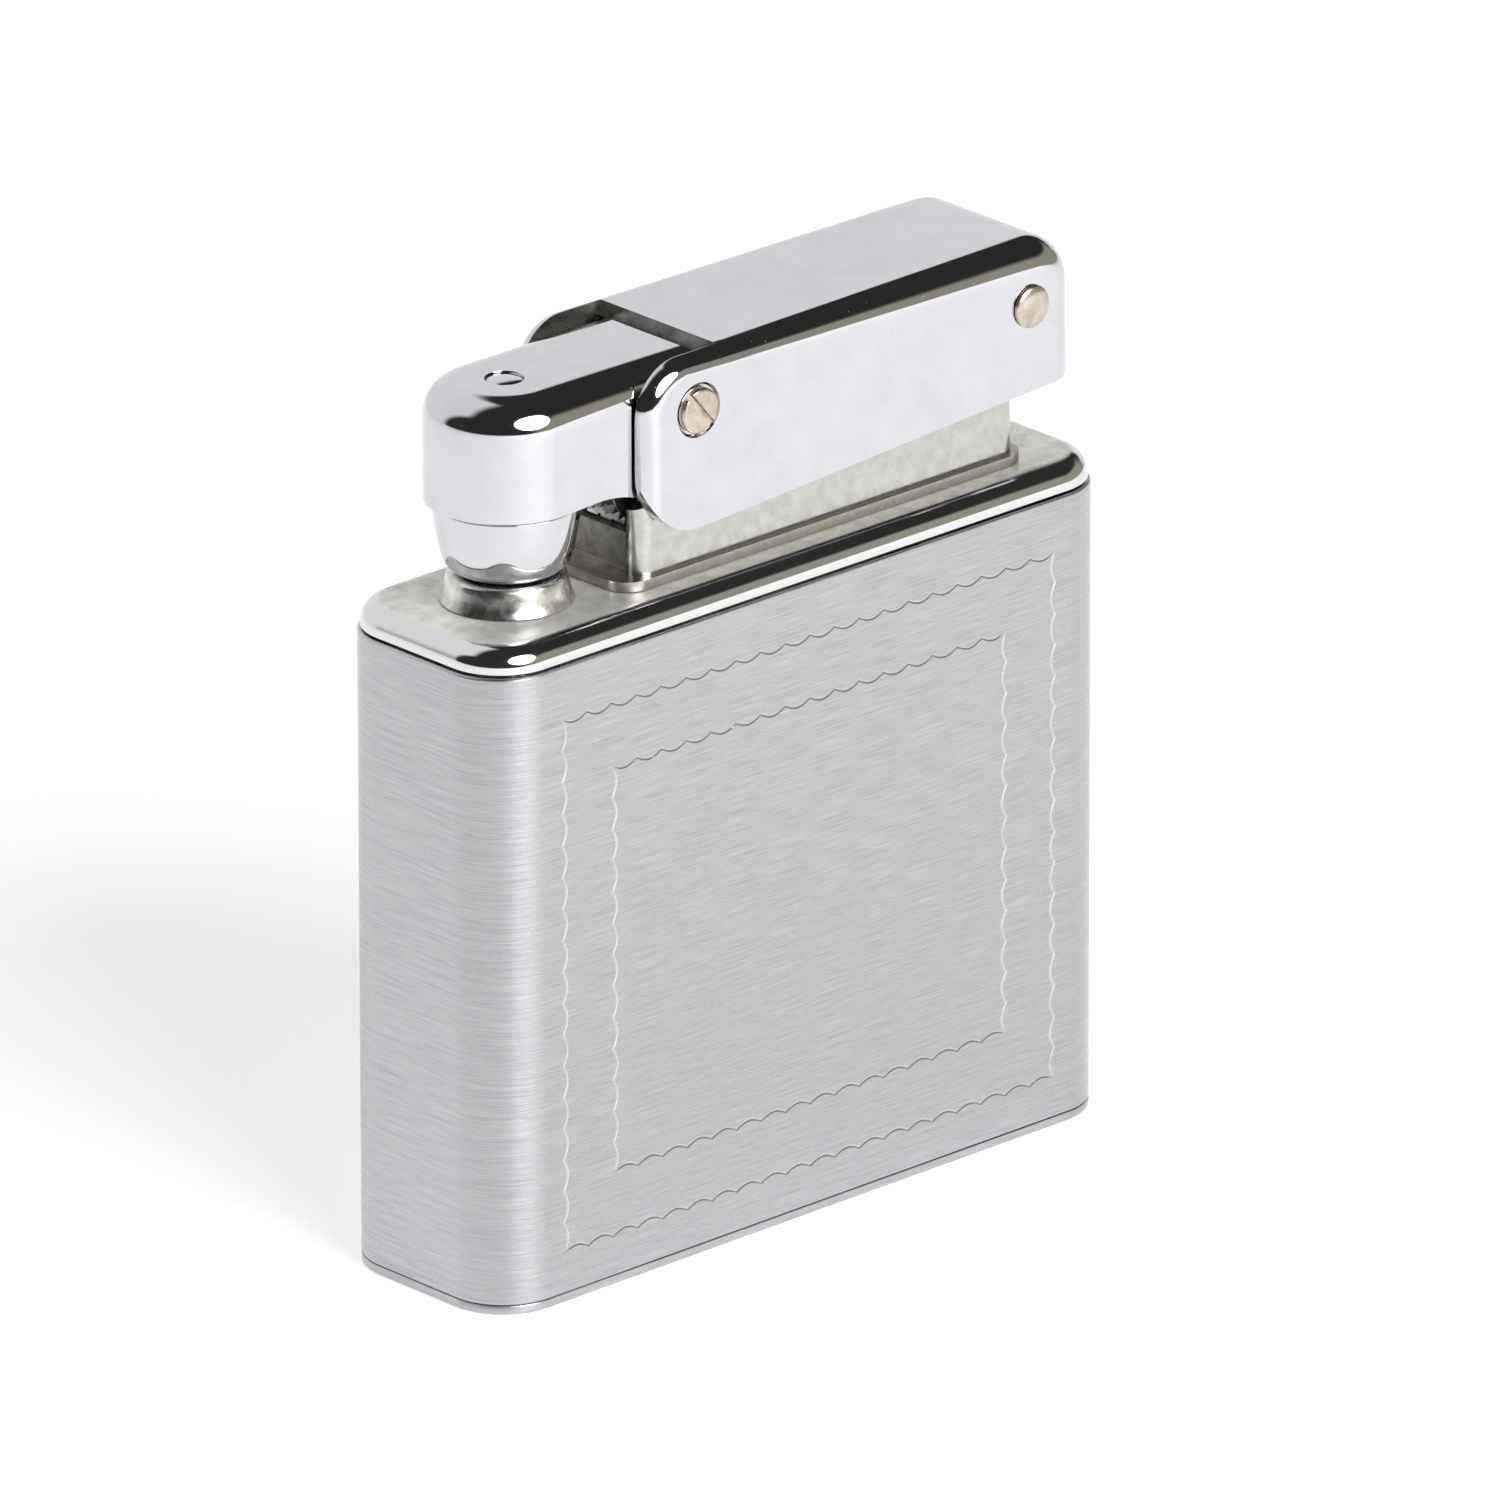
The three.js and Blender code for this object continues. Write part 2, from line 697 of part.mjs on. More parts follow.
addPart('pivot_bush', pivotBush(), steel);
addPart('toggle_link', toggleLink(), steel);
addPart('link_pin', linkPin(), steel);
addPart('push_bar', pushBar(), steel);
addPart('return_spring', returnSpring(), steel);
addPart('spark_wheel', sparkWheel(), steel);
addPart('ratchet_wheel', ratchetWheel(), steel);
addPart('wheel_axle', crossPin(axleRadius, -blockHalf + 0.1, blockHalf - 0.1, wheelAxis, 16), steel);
addPart('flint_tube', flintTube(), brass);
addPart('flint', flint(), flintStone);
addPart('flint_spring', flintSpring(), steel);
addPart('flint_screw', flintScrew(), brass);
addPart('filler_screw', fillerScrew(), brass);
addPart('filler_washer', fillerWasher(), rubber);

export default lighter;
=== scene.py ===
import math
import bpy
import bmesh
from mathutils import Matrix, Vector
from mathutils.geometry import delaunay_2d_cdt


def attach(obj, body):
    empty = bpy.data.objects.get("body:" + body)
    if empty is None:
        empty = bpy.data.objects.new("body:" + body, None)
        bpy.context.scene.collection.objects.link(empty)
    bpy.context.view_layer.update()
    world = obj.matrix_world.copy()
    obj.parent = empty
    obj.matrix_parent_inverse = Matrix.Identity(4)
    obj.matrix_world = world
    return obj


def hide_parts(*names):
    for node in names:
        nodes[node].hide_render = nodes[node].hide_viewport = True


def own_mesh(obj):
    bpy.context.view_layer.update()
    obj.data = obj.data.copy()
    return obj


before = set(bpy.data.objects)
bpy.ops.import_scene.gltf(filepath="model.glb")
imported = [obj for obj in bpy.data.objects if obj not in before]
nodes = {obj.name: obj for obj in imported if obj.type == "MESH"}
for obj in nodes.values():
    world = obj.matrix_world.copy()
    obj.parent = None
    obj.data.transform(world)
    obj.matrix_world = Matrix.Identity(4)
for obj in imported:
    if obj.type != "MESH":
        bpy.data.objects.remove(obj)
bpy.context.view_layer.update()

# Sizes below are in millimetres, as in the CAD part, and become metres when a mesh is made.
millimetre = 0.001


def report(text):
    print("scene:", text)


def addToScene(name, data):
    item = bpy.data.objects.new(name, data)
    bpy.context.scene.collection.objects.link(item)
    return item


def makeObject(name, vertices, faces):
    mesh = bpy.data.meshes.new(name)
    mesh.from_pydata([Vector(v) * millimetre for v in vertices], [], faces)
    cleanMesh(mesh)
    return addToScene(name, mesh)


def cleanMesh(mesh, outward=True):
    work = bmesh.new()
    work.from_mesh(mesh)
    bmesh.ops.remove_doubles(work, verts=work.verts, dist=1e-7)
    bmesh.ops.dissolve_degenerate(work, edges=work.edges, dist=1e-7)
    if outward:
        bmesh.ops.recalc_face_normals(work, faces=work.faces)
    work.to_mesh(mesh)
    work.free()


def arc(centreA, centreB, radius, start, end, steps):
    points = []
    for i in range(steps + 1):
        angle = math.radians(start + (end - start) * i / steps)
        points.append((centreA + radius * math.cos(angle), centreB + radius * math.sin(angle)))
    return points


def solid(name, loops, ringed=False):
    # skin over closed loops with the same number of points; a ringed one joins its last loop to its first
    count = len(loops[0])
    vertices = [point for loop in loops for point in loop]
    faces = []
    pairs = len(loops) if ringed else len(loops) - 1
    for a in range(pairs):
        b = (a + 1) % len(loops)
        for i in range(count):
            j = (i + 1) % count
            faces.append((a * count + i, a * count + j, b * count + j, b * count + i))
    if not ringed:
        faces.append(tuple(reversed(range(count))))
        faces.append(tuple((len(loops) - 1) * count + i for i in range(count)))
    return makeObject(name, vertices, faces)


def planLoop(length, width, radius, inset, z, steps=14, middle=0):
    # rounded rectangle seen from above
    x, y, r = length / 2 - inset, width / 2 - inset, radius - inset
    corners = [(x - r, -y + r, -90), (x - r, y - r, 0), (-x + r, y - r, 90), (-x + r, -y + r, 180)]
    points = [p for cx, cy, start in corners for p in arc(cx, cy, r, start, start + 90, steps)]
    return [(px + middle, py, z) for px, py in points]


def sideSolid(name, outline, low, high):
    # outline drawn in X and Z, given thickness along Y
    return solid(name, [[(x, y, z) for x, z in outline] for y in (low, high)])


def turned(name, profile, centre, axis="Z", steps=64, ringed=False):
    # profile of (radius, height along the axis) pairs
    cx, cy, cz = centre
    loops = []
    for radius, height in profile:
        loop = []
        for i in range(steps):
            angle = 2 * math.pi * i / steps
            a, b = max(radius, 1e-4) * math.cos(angle), max(radius, 1e-4) * math.sin(angle)
            loop.append((cx + a, cy + b, height) if axis == "Z" else (cx + a, height, cz + b))
        loops.append(loop)
    return solid(name, loops, ringed)


def boxSolid(name, xs, ys, zs):
    return solid(name, [[(xs[0], ys[0], z), (xs[1], ys[0], z), (xs[1], ys[1], z), (xs[0], ys[1], z)] for z in zs])


def drum(name, radius, low, high, centre, axis="Z", steps=48):
    return turned(name, [(radius, low), (radius, high)], centre, axis, steps)


def applyModifiers(item):
    graph = bpy.context.evaluated_depsgraph_get()
    mesh = bpy.data.meshes.new_from_object(item.evaluated_get(graph), preserve_all_data_layers=True, depsgraph=graph)
    item.modifiers.clear()
    old = item.data
    item.data = mesh
    mesh.name = item.name
    bpy.data.meshes.remove(old)
    return item


def combine(item, tools, operation):
    for tool in tools:
        step = item.modifiers.new("combine", "BOOLEAN")
        step.operation = operation
        step.solver = "EXACT"
        step.object = tool
    applyModifiers(item)
    for tool in tools:
        bpy.data.objects.remove(tool)
    cleanMesh(item.data, False)
    return item


def cut(item, *tools):
    return combine(item, tools, "DIFFERENCE")


def join(item, *tools):
    return combine(item, tools, "UNION")


def keep(item, *tools):
    return combine(item, tools, "INTERSECT")


def softenEdges(item, width, angle=32, segments=3):
    # flat neighbours are merged first, then every crisp edge gets a small rounding
    work = bmesh.new()
    work.from_mesh(item.data)
    bmesh.ops.remove_doubles(work, verts=work.verts, dist=2e-6)
    bmesh.ops.dissolve_limit(work, angle_limit=math.radians(0.3), verts=work.verts, edges=work.edges)
    work.to_mesh(item.data)
    work.free()
    bevel = item.modifiers.new("edge rounding", "BEVEL")
    bevel.width = width * millimetre
    bevel.segments = segments
    bevel.limit_method = "ANGLE"
    bevel.angle_limit = math.radians(angle)
    bevel.use_clamp_overlap = True
    bevel.miter_outer = "MITER_ARC"
    return applyModifiers(item)


def smoothFaces(item, angle=30, weighted=True):
    item.data.shade_smooth()
    item.data.set_sharp_from_angle(angle=math.radians(angle))
    if weighted:
        weight = item.modifiers.new("flat faces stay flat", "WEIGHTED_NORMAL")
        weight.keep_sharp = True
        applyModifiers(item)
    return item


def finishPiece(item, body, material, slotName, *cadNodes):
    item.data.materials.clear()
    for look in material if isinstance(material, tuple) else (material,):
        item.data.materials.append(look)
    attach(item, body)
    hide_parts(*cadNodes)
    return item


def addNode(tree, kind, settings=None, values=None):
    node = tree.nodes.new(kind)
    for key, value in (settings or {}).items():
        setattr(node, key, value)
    fillInputs(tree, node, values or {})
    return node


def wire(tree, source, target):
    tree.links.new(source, target)


def fillInputs(tree, node, values):
    # a value is a plain number or colour, or the socket to link from
    for key, value in values.items():
        if isinstance(value, bpy.types.NodeSocket):
            wire(tree, value, node.inputs[key])
        else:
            node.inputs[key].default_value = value


socketKinds = {float: "NodeSocketFloat", int: "NodeSocketInt", type(None): "NodeSocketVector"}


def addInputs(tree, inputs):
    for label, value in inputs:
        socket = tree.interface.new_socket(label, in_out="INPUT", socket_type=socketKinds[type(value)])
        if value is not None:
            socket.default_value = value


def shaderGroup(name, inputs, outputs):
    tree = bpy.data.node_groups.new(name, "ShaderNodeTree")
    addInputs(tree, inputs)
    for label in outputs:
        tree.interface.new_socket(label, in_out="OUTPUT", socket_type="NodeSocketFloat")
    return tree, tree.nodes.new("NodeGroupInput").outputs, tree.nodes.new("NodeGroupOutput").inputs


def scaledCoordinates(tree, source, scale):
    stretch = addNode(tree, "ShaderNodeMapping")
    stretch.inputs["Scale"].default_value = scale
    wire(tree, source, stretch.inputs["Vector"])
    return stretch.outputs["Vector"]


def mathNode(tree, operation, first, second=None, clamp=False):
    node = addNode(tree, "ShaderNodeMath", {"operation": operation, "use_clamp": clamp})
    for socket, value in zip(node.inputs, (first, second)):
        if value is None:
            continue
        if isinstance(value, (int, float)):
            socket.default_value = value
        else:
            wire(tree, value, socket)
    return node.outputs["Value"]


def geometryTree(name, inputs):
    tree = bpy.data.node_groups.new(name, "GeometryNodeTree")
    tree.interface.new_socket("Geometry", in_out="OUTPUT", socket_type="NodeSocketGeometry")
    addInputs(tree, inputs)
    tree.interface.new_socket("Finish", in_out="INPUT", socket_type="NodeSocketMaterial")
    return tree, tree.nodes.new("NodeGroupInput").outputs, tree.nodes.new("NodeGroupOutput").inputs


def endTree(tree, given, result, shape):
    realize = tree.nodes.new("GeometryNodeRealizeInstances")
    paint = tree.nodes.new("GeometryNodeSetMaterial")
    wire(tree, shape, realize.inputs["Geometry"])
    wire(tree, realize.outputs["Geometry"], paint.inputs["Geometry"])
    wire(tree, given["Finish"], paint.inputs["Material"])
    wire(tree, paint.outputs["Geometry"], result["Geometry"])


def growPiece(name, tree, values, material):
    # runs a tree on an empty mesh and keeps the result as a plain mesh
    item = addToScene(name, bpy.data.meshes.new(name))
    build = item.modifiers.new("build", "NODES")
    build.node_group = tree
    for socket in tree.interface.items_tree:
        if socket.in_out == "INPUT":
            isFinish = socket.name == "Finish"
            build[socket.identifier] = material if isFinish else values.get(socket.name, socket.default_value)
    applyModifiers(item)
    cleanMesh(item.data)
    return item


def addSpiral(tree, given, radius, reverse=False):
    spiral = addNode(tree, "GeometryNodeCurveSpiral", values={
        "Reverse": reverse, "Start Radius": radius, "End Radius": radius, "Height": given["Length"],
        "Rotations": given["Turns"], "Resolution": given["Steps"]})
    return spiral.outputs["Curve"]


def sweepCircle(tree, path, section):
    tube = addNode(tree, "GeometryNodeCurveToMesh", values={"Fill Caps": True, "Curve": path,
        "Profile Curve": section.outputs["Curve"]})
    return tube.outputs["Mesh"]


def copyToPoints(tree, count, shape, rotation):
    # returns the points as well, so that their places can be set
    spots = tree.nodes.new("GeometryNodePoints")
    wire(tree, count, spots.inputs["Count"])
    copies = tree.nodes.new("GeometryNodeInstanceOnPoints")
    wire(tree, spots.outputs[0], copies.inputs["Points"])
    wire(tree, shape, copies.inputs["Instance"])
    wire(tree, rotation, copies.inputs["Rotation"])
    return spots, copies.outputs["Instances"]


def buildCoilTree():
    # round wire wound along +Z from the origin
    tree, given, result = geometryTree("wound wire", [
        ("Radius", 0.001), ("Wire Radius", 0.0002), ("Length", 0.01),
        ("Turns", 8.0), ("Steps", 24), ("Sides", 8),
    ])
    section = addNode(tree, "GeometryNodeCurvePrimitiveCircle",
        values={"Radius": given["Wire Radius"], "Resolution": given["Sides"]})
    endTree(tree, given, result, sweepCircle(tree, addSpiral(tree, given, given["Radius"]), section))
    return tree


def buildFileWheelTree():
    # a drum along +Z with rows of small ridges, each row turned a little from the last
    tree, given, result = geometryTree("file wheel", [
        ("Radius", 0.003), ("Width", 0.003), ("Ridge", 0.0003),
        ("Teeth", 30), ("Rows", 5), ("Row Turn", 0.2),
    ])
    ridgeShare, coreDepth = 0.9, 0.3  # length of a ridge in its row, and how far the core stands under the ridges
    index = tree.nodes.new("GeometryNodeInputIndex").outputs["Index"]
    row = mathNode(tree, "FLOOR", mathNode(tree, "DIVIDE", index, given["Teeth"]))
    step = mathNode(tree, "DIVIDE", 2 * math.pi, given["Teeth"])
    turnCount = mathNode(tree, "ADD", index, mathNode(tree, "MULTIPLY", row, given["Row Turn"]))
    angle = mathNode(tree, "MULTIPLY", turnCount, step)
    seat = mathNode(tree, "SUBTRACT", given["Radius"], given["Ridge"])
    rowWidth = mathNode(tree, "DIVIDE", given["Width"], given["Rows"])
    offset = mathNode(tree, "SUBTRACT", mathNode(tree, "ADD", row, 0.5),
        mathNode(tree, "MULTIPLY", given["Rows"], 0.5))
    place = addNode(tree, "ShaderNodeCombineXYZ", values={"X": mathNode(tree, "MULTIPLY", seat,
        mathNode(tree, "COSINE", angle)), "Y": mathNode(tree, "MULTIPLY", seat, mathNode(tree, "SINE", angle)),
        "Z": mathNode(tree, "MULTIPLY", offset, rowWidth)})
    ridge = addNode(tree, "GeometryNodeMeshCylinder", values={"Vertices": 3, "Radius": given["Ridge"],
        "Depth": mathNode(tree, "MULTIPLY", rowWidth, ridgeShare)})
    turn = addNode(tree, "ShaderNodeCombineXYZ", values={"Z": angle})
    count = mathNode(tree, "MULTIPLY", given["Teeth"], given["Rows"])
    spots, ridges = copyToPoints(tree, count, ridge.outputs["Mesh"], turn.outputs["Vector"])
    wire(tree, place.outputs["Vector"], spots.inputs["Position"])
    core = addNode(tree, "GeometryNodeMeshCylinder", values={"Vertices": 96,
        "Radius": mathNode(tree, "SUBTRACT", seat, mathNode(tree, "MULTIPLY", given["Ridge"], coreDepth)),
        "Depth": given["Width"]})
    both = tree.nodes.new("GeometryNodeJoinGeometry")
    wire(tree, ridges, both.inputs["Geometry"])
    wire(tree, core.outputs["Mesh"], both.inputs["Geometry"])
    endTree(tree, given, result, both.outputs["Geometry"])
    return tree


def buildBraidTree():
    # cotton strands laid both ways round a core along +Z
    tree, given, result = geometryTree("braided wick", [
        ("Radius", 0.0011), ("Strand", 0.0003), ("Length", 0.03),
        ("Turns", 6.0), ("Strands", 7), ("Steps", 14),
    ])
    section = addNode(tree, "GeometryNodeCurvePrimitiveCircle", values={"Resolution": 6, "Radius": given["Strand"]})
    both = tree.nodes.new("GeometryNodeJoinGeometry")
    for sense, spread in ((False, 1.0), (True, 0.88)):
        radius = mathNode(tree, "MULTIPLY", given["Radius"], spread)
        strand = sweepCircle(tree, addSpiral(tree, given, radius, sense), section)
        index = tree.nodes.new("GeometryNodeInputIndex").outputs["Index"]
        turn = addNode(tree, "ShaderNodeCombineXYZ")
        step = mathNode(tree, "DIVIDE", 2 * math.pi, given["Strands"])
        wire(tree, mathNode(tree, "MULTIPLY", index, step), turn.inputs["Z"])
        _, copies = copyToPoints(tree, given["Strands"], strand, turn.outputs["Vector"])
        wire(tree, copies, both.inputs["Geometry"])
    endTree(tree, given, result, both.outputs["Geometry"])
    return tree


def buildBrushGrain():
    # long level strokes left by the satin brush; "Across" is the finest line spacing per metre
    tree, given, result = shaderGroup(
        "brush grain",
        [("Vector", None), ("Along", 260.0), ("Across", 9000.0)],
        ["Height", "Streaks"],
    )
    scale = addNode(tree, "ShaderNodeCombineXYZ", values={"X": given["Along"], "Y": given["Along"],
        "Z": given["Across"]})
    stretched = addNode(tree, "ShaderNodeVectorMath", {"operation": "MULTIPLY"},
        {0: given["Vector"], 1: scale.outputs["Vector"]})
    fine = addNode(tree, "ShaderNodeTexNoise", values={"Scale": 1.0, "Detail": 4.0, "Roughness": 0.65})
    coarse = addNode(tree, "ShaderNodeTexNoise", values={"Scale": 0.22, "Detail": 3.0, "Roughness": 0.55})
    wire(tree, stretched.outputs["Vector"], fine.inputs["Vector"])
    wire(tree, stretched.outputs["Vector"], coarse.inputs["Vector"])
    half = mathNode(tree, "MULTIPLY", coarse.outputs["Fac"], 0.3)
    wire(tree, mathNode(tree, "ADD", fine.outputs["Fac"], half), result["Height"])
    ramp = addNode(tree, "ShaderNodeMapRange", values={"From Min": 0.3, "From Max": 0.7, "Value": fine.outputs["Fac"]})
    wire(tree, ramp.outputs["Result"], result["Streaks"])
    return tree


def buildPolishMarks():
    # faint waviness of plated sheet metal, hairline scratches and a little dust
    tree, given, result = shaderGroup(
        "polish marks",
        [("Vector", None), ("Wave Scale", 90.0)],
        ["Height", "Haze", "Specks"],
    )
    wave = addNode(tree, "ShaderNodeTexNoise", values={"Detail": 1.0, "Roughness": 0.4, "Vector": given["Vector"],
        "Scale": given["Wave Scale"]})
    hair = addNode(tree, "ShaderNodeTexNoise", values={"Scale": 1.0, "Detail": 2.0,
        "Vector": scaledCoordinates(tree, given["Vector"], (300, 2600, 2600))})
    raised = mathNode(tree, "MULTIPLY", hair.outputs["Fac"], 0.02)
    wire(tree, mathNode(tree, "ADD", wave.outputs["Fac"], raised), result["Height"])
    cloud = addNode(tree, "ShaderNodeTexNoise", values={"Scale": 420.0, "Detail": 5.0, "Roughness": 0.6,
        "Vector": given["Vector"]})
    haze = addNode(tree, "ShaderNodeMapRange", values={"From Min": 0.4, "From Max": 0.75,
        "Value": cloud.outputs["Fac"]})
    wire(tree, haze.outputs["Result"], result["Haze"])
    dust = addNode(tree, "ShaderNodeTexVoronoi", values={"Scale": 1500.0, "Vector": given["Vector"]})
    dots = addNode(tree, "ShaderNodeMapRange", values={"From Min": 0.06, "From Max": 0.1, "To Min": 1.0, "To Max": 0.0,
        "Value": dust.outputs["Distance"]})
    wire(tree, dots.outputs["Result"], result["Specks"])
    return tree


def buildTarnish():
    # soft blotches where the plating has dulled
    tree, given, result = shaderGroup(
        "tarnish",
        [("Vector", None), ("Blotch Scale", 300.0), ("Spread", 0.5)],
        ["Mask", "Grain"],
    )
    blotch = addNode(tree, "ShaderNodeTexNoise", values={"Detail": 6.0, "Roughness": 0.62, "Vector": given["Vector"],
        "Scale": given["Blotch Scale"]})
    edge = mathNode(tree, "SUBTRACT", 1.0, given["Spread"])
    low = mathNode(tree, "SUBTRACT", edge, 0.12)
    high = mathNode(tree, "ADD", edge, 0.15)
    mask = addNode(tree, "ShaderNodeMapRange", {"clamp": True},
        {"Value": blotch.outputs["Fac"], "From Min": low, "From Max": high})
    wire(tree, mask.outputs["Result"], result["Mask"])
    grain = addNode(tree, "ShaderNodeTexNoise", values={"Scale": 5200.0, "Detail": 2.0, "Vector": given["Vector"]})
    wire(tree, grain.outputs["Fac"], result["Grain"])
    return tree


brushGrain = buildBrushGrain()
polishMarks = buildPolishMarks()
tarnish = buildTarnish()


def startMaterial(name, metallic, extra=None):
    material = bpy.data.materials.new(name)
    material.use_nodes = True
    tree = material.node_tree
    shader = tree.nodes["Principled BSDF"]
    shader.inputs["Metallic"].default_value = metallic
    for key, value in (extra or {}).items():
        shader.inputs[key].default_value = value
    place = tree.nodes.new("ShaderNodeTexCoord")
    return material, tree, shader, place.outputs["Object"]


def useGroup(tree, group, coordinates, values=None):
    node = tree.nodes.new("ShaderNodeGroup")
    node.node_tree = group
    fillInputs(tree, node, {"Vector": coordinates, **(values or {})})
    return node


def blendColour(tree, factor, first, second):
    mix = addNode(tree, "ShaderNodeMix", {"data_type": "RGBA"}, {"Factor": factor})
    mix.inputs[6].default_value = (*first, 1)
    mix.inputs[7].default_value = (*second, 1)
    return mix.outputs[2]


def rangeOf(tree, value, low, high):
    node = addNode(tree, "ShaderNodeMapRange", values={"To Min": low, "To Max": high, "Value": value})
    return node.outputs["Result"]


def smoothStep(tree, value, low, high, start=0.0, end=1.0):
    node = addNode(tree, "ShaderNodeMapRange", {"interpolation_type": "SMOOTHSTEP"}, {
        "Value": value, "From Min": low, "From Max": high, "To Min": start, "To Max": end})
    return node.outputs["Result"]


def addBump(tree, shader, height, strength, distance):
    bump = addNode(tree, "ShaderNodeBump", values={"Strength": strength, "Distance": distance, "Height": height})
    wire(tree, bump.outputs["Normal"], shader.inputs["Normal"])


def makeSatinChrome():
    look = {"dark": (0.37, 0.366, 0.384), "light": (0.545, 0.539, 0.56), "roughness": (0.23, 0.34), "stroke": 0.000026}
    material, tree, shader, place = startMaterial("satin chrome", 1.0,
        {"Anisotropic": 0.7, "Anisotropic Rotation": 0.25})
    strokes = useGroup(tree, brushGrain, place, {"Along": 300.0, "Across": 12000.0})
    wire(tree, blendColour(tree, strokes.outputs["Streaks"], look["dark"], look["light"]), shader.inputs["Base Color"])
    wire(tree, rangeOf(tree, strokes.outputs["Streaks"], *look["roughness"]), shader.inputs["Roughness"])
    addBump(tree, shader, strokes.outputs["Height"], 0.55, look["stroke"])
    return material


def makePolishedChrome(name, bright, hazed, roughness, waveHeight):
    material, tree, shader, place = startMaterial(name, 1.0)
    marks = useGroup(tree, polishMarks, place)
    wire(tree, blendColour(tree, marks.outputs["Haze"], bright, hazed), shader.inputs["Base Color"])
    rough = rangeOf(tree, marks.outputs["Haze"], *roughness)
    specks = mathNode(tree, "MULTIPLY", marks.outputs["Specks"], 0.25)
    wire(tree, mathNode(tree, "ADD", rough, specks, True), shader.inputs["Roughness"])
    addBump(tree, shader, marks.outputs["Height"], 0.4, waveHeight)
    return material


def makeMottledMetal(name, clean, dull, roughness, spread, blotch=300.0, grainHeight=0.000004):
    material, tree, shader, place = startMaterial(name, 1.0)
    patches = useGroup(tree, tarnish, place, {"Spread": spread, "Blotch Scale": blotch})
    wire(tree, blendColour(tree, patches.outputs["Mask"], clean, dull), shader.inputs["Base Color"])
    wire(tree, rangeOf(tree, patches.outputs["Mask"], *roughness), shader.inputs["Roughness"])
    addBump(tree, shader, patches.outputs["Grain"], 0.5, grainHeight)
    return material


def makeDeckChrome():
    look = {"edge": (0.68, 0.675, 0.69), "flat": (0.86, 0.85, 0.81), "dull": (0.62, 0.615, 0.56),
        "flatRoughness": (0.28, 0.46), "flatMetallic": 0.5}
    material, tree, shader, place = startMaterial("plated deck", 1.0)
    patches = useGroup(tree, tarnish, place, {"Spread": 0.47, "Blotch Scale": 900.0})
    marks = useGroup(tree, polishMarks, place)
    facing = tree.nodes.new("ShaderNodeSeparateXYZ")
    wire(tree, tree.nodes["Texture Coordinate"].outputs["Normal"], facing.inputs["Vector"])
    level = smoothStep(tree, facing.outputs["Z"], 0.93, 0.995)
    flat = blendColour(tree, patches.outputs["Mask"], look["flat"], look["dull"])
    mix = addNode(tree, "ShaderNodeMix", {"data_type": "RGBA"}, {"Factor": level})
    mix.inputs[6].default_value = (*look["edge"], 1)
    wire(tree, flat, mix.inputs[7])
    wire(tree, mix.outputs[2], shader.inputs["Base Color"])
    edgeRoughness = rangeOf(tree, marks.outputs["Haze"], 0.05, 0.12)
    flatRoughness = rangeOf(tree, patches.outputs["Grain"], *look["flatRoughness"])
    rough = addNode(tree, "ShaderNodeMix", {"data_type": "FLOAT"},
        {"Factor": level, 2: edgeRoughness, 3: flatRoughness})
    wire(tree, rough.outputs[0], shader.inputs["Roughness"])
    wire(tree, rangeOf(tree, level, 1.0, look["flatMetallic"]), shader.inputs["Metallic"])
    addBump(tree, shader, mathNode(tree, "MULTIPLY", patches.outputs["Grain"], level), 0.6, 0.00001)
    return material


def makeDullMaterial(name, clean, dull, roughness, scale, grainHeight, extra=None):
    material, tree, shader, place = startMaterial(name, 0.0, extra)
    patches = useGroup(tree, tarnish, place, {"Blotch Scale": scale})
    wire(tree, blendColour(tree, patches.outputs["Mask"], clean, dull), shader.inputs["Base Color"])
    wire(tree, rangeOf(tree, patches.outputs["Grain"], *roughness), shader.inputs["Roughness"])
    addBump(tree, shader, patches.outputs["Grain"], 0.6, grainHeight)
    return material


satinChrome = makeSatinChrome()
chrome = makePolishedChrome("polished chrome", (0.62, 0.614, 0.645), (0.575, 0.568, 0.60), (0.045, 0.085), 0.000012)
cutChrome = makePolishedChrome("cut strokes", (0.54, 0.535, 0.55), (0.47, 0.465, 0.48), (0.13, 0.22), 0.000004)
deckChrome = makeDeckChrome()
blockChrome = makeMottledMetal("block chrome", (0.52, 0.515, 0.50), (0.45, 0.445, 0.405), (0.14, 0.26), 0.5, 1200.0)
collarChrome = makeMottledMetal("collar chrome", (0.70, 0.695, 0.69), (0.54, 0.54, 0.50), (0.18, 0.34), 0.5, 1400.0)
nickel = makeMottledMetal("nickel heads", (0.58, 0.52, 0.44), (0.40, 0.345, 0.275), (0.22, 0.38), 0.45, 900.0)
insideChrome = makeMottledMetal("unpolished inside", (0.50, 0.505, 0.47), (0.33, 0.335, 0.30), (0.22, 0.42), 0.5,
    700.0)
footPlate = makeMottledMetal("foot plate", (0.46, 0.445, 0.395), (0.35, 0.335, 0.285), (0.26, 0.42), 0.5, 900.0)
# dark raw steel: partly its own colour, partly painted shade, used on the guard under the spark wheel and on the
# hood's cut edge
rawSteelPaintedShade = makeMottledMetal("raw steel and painted shade", (0.34, 0.33, 0.31), (0.22, 0.21, 0.19), (0.35, 0.5), 0.5, 1100.0, 0.00001)
steel = makeMottledMetal("bare steel", (0.38, 0.38, 0.375), (0.24, 0.235, 0.22), (0.28, 0.45), 0.5, 600.0, 0.000008)
wheelSteel = makeMottledMetal("file steel", (0.60, 0.595, 0.58), (0.46, 0.45, 0.43), (0.3, 0.45), 0.45, 900.0,
    0.000008)
brass = makeMottledMetal("worn brass", (0.62, 0.46, 0.22), (0.36, 0.25, 0.11), (0.22, 0.42), 0.5, 350.0)
cotton = makeDullMaterial("cotton", (0.80, 0.77, 0.69), (0.62, 0.57, 0.48), (0.85, 1.0), 900.0, 0.00006,
    {"Sheen Weight": 0.3})
rubber = makeDullMaterial("black rubber", (0.035, 0.033, 0.03), (0.06, 0.056, 0.05), (0.6, 0.85), 500.0, 0.00002)
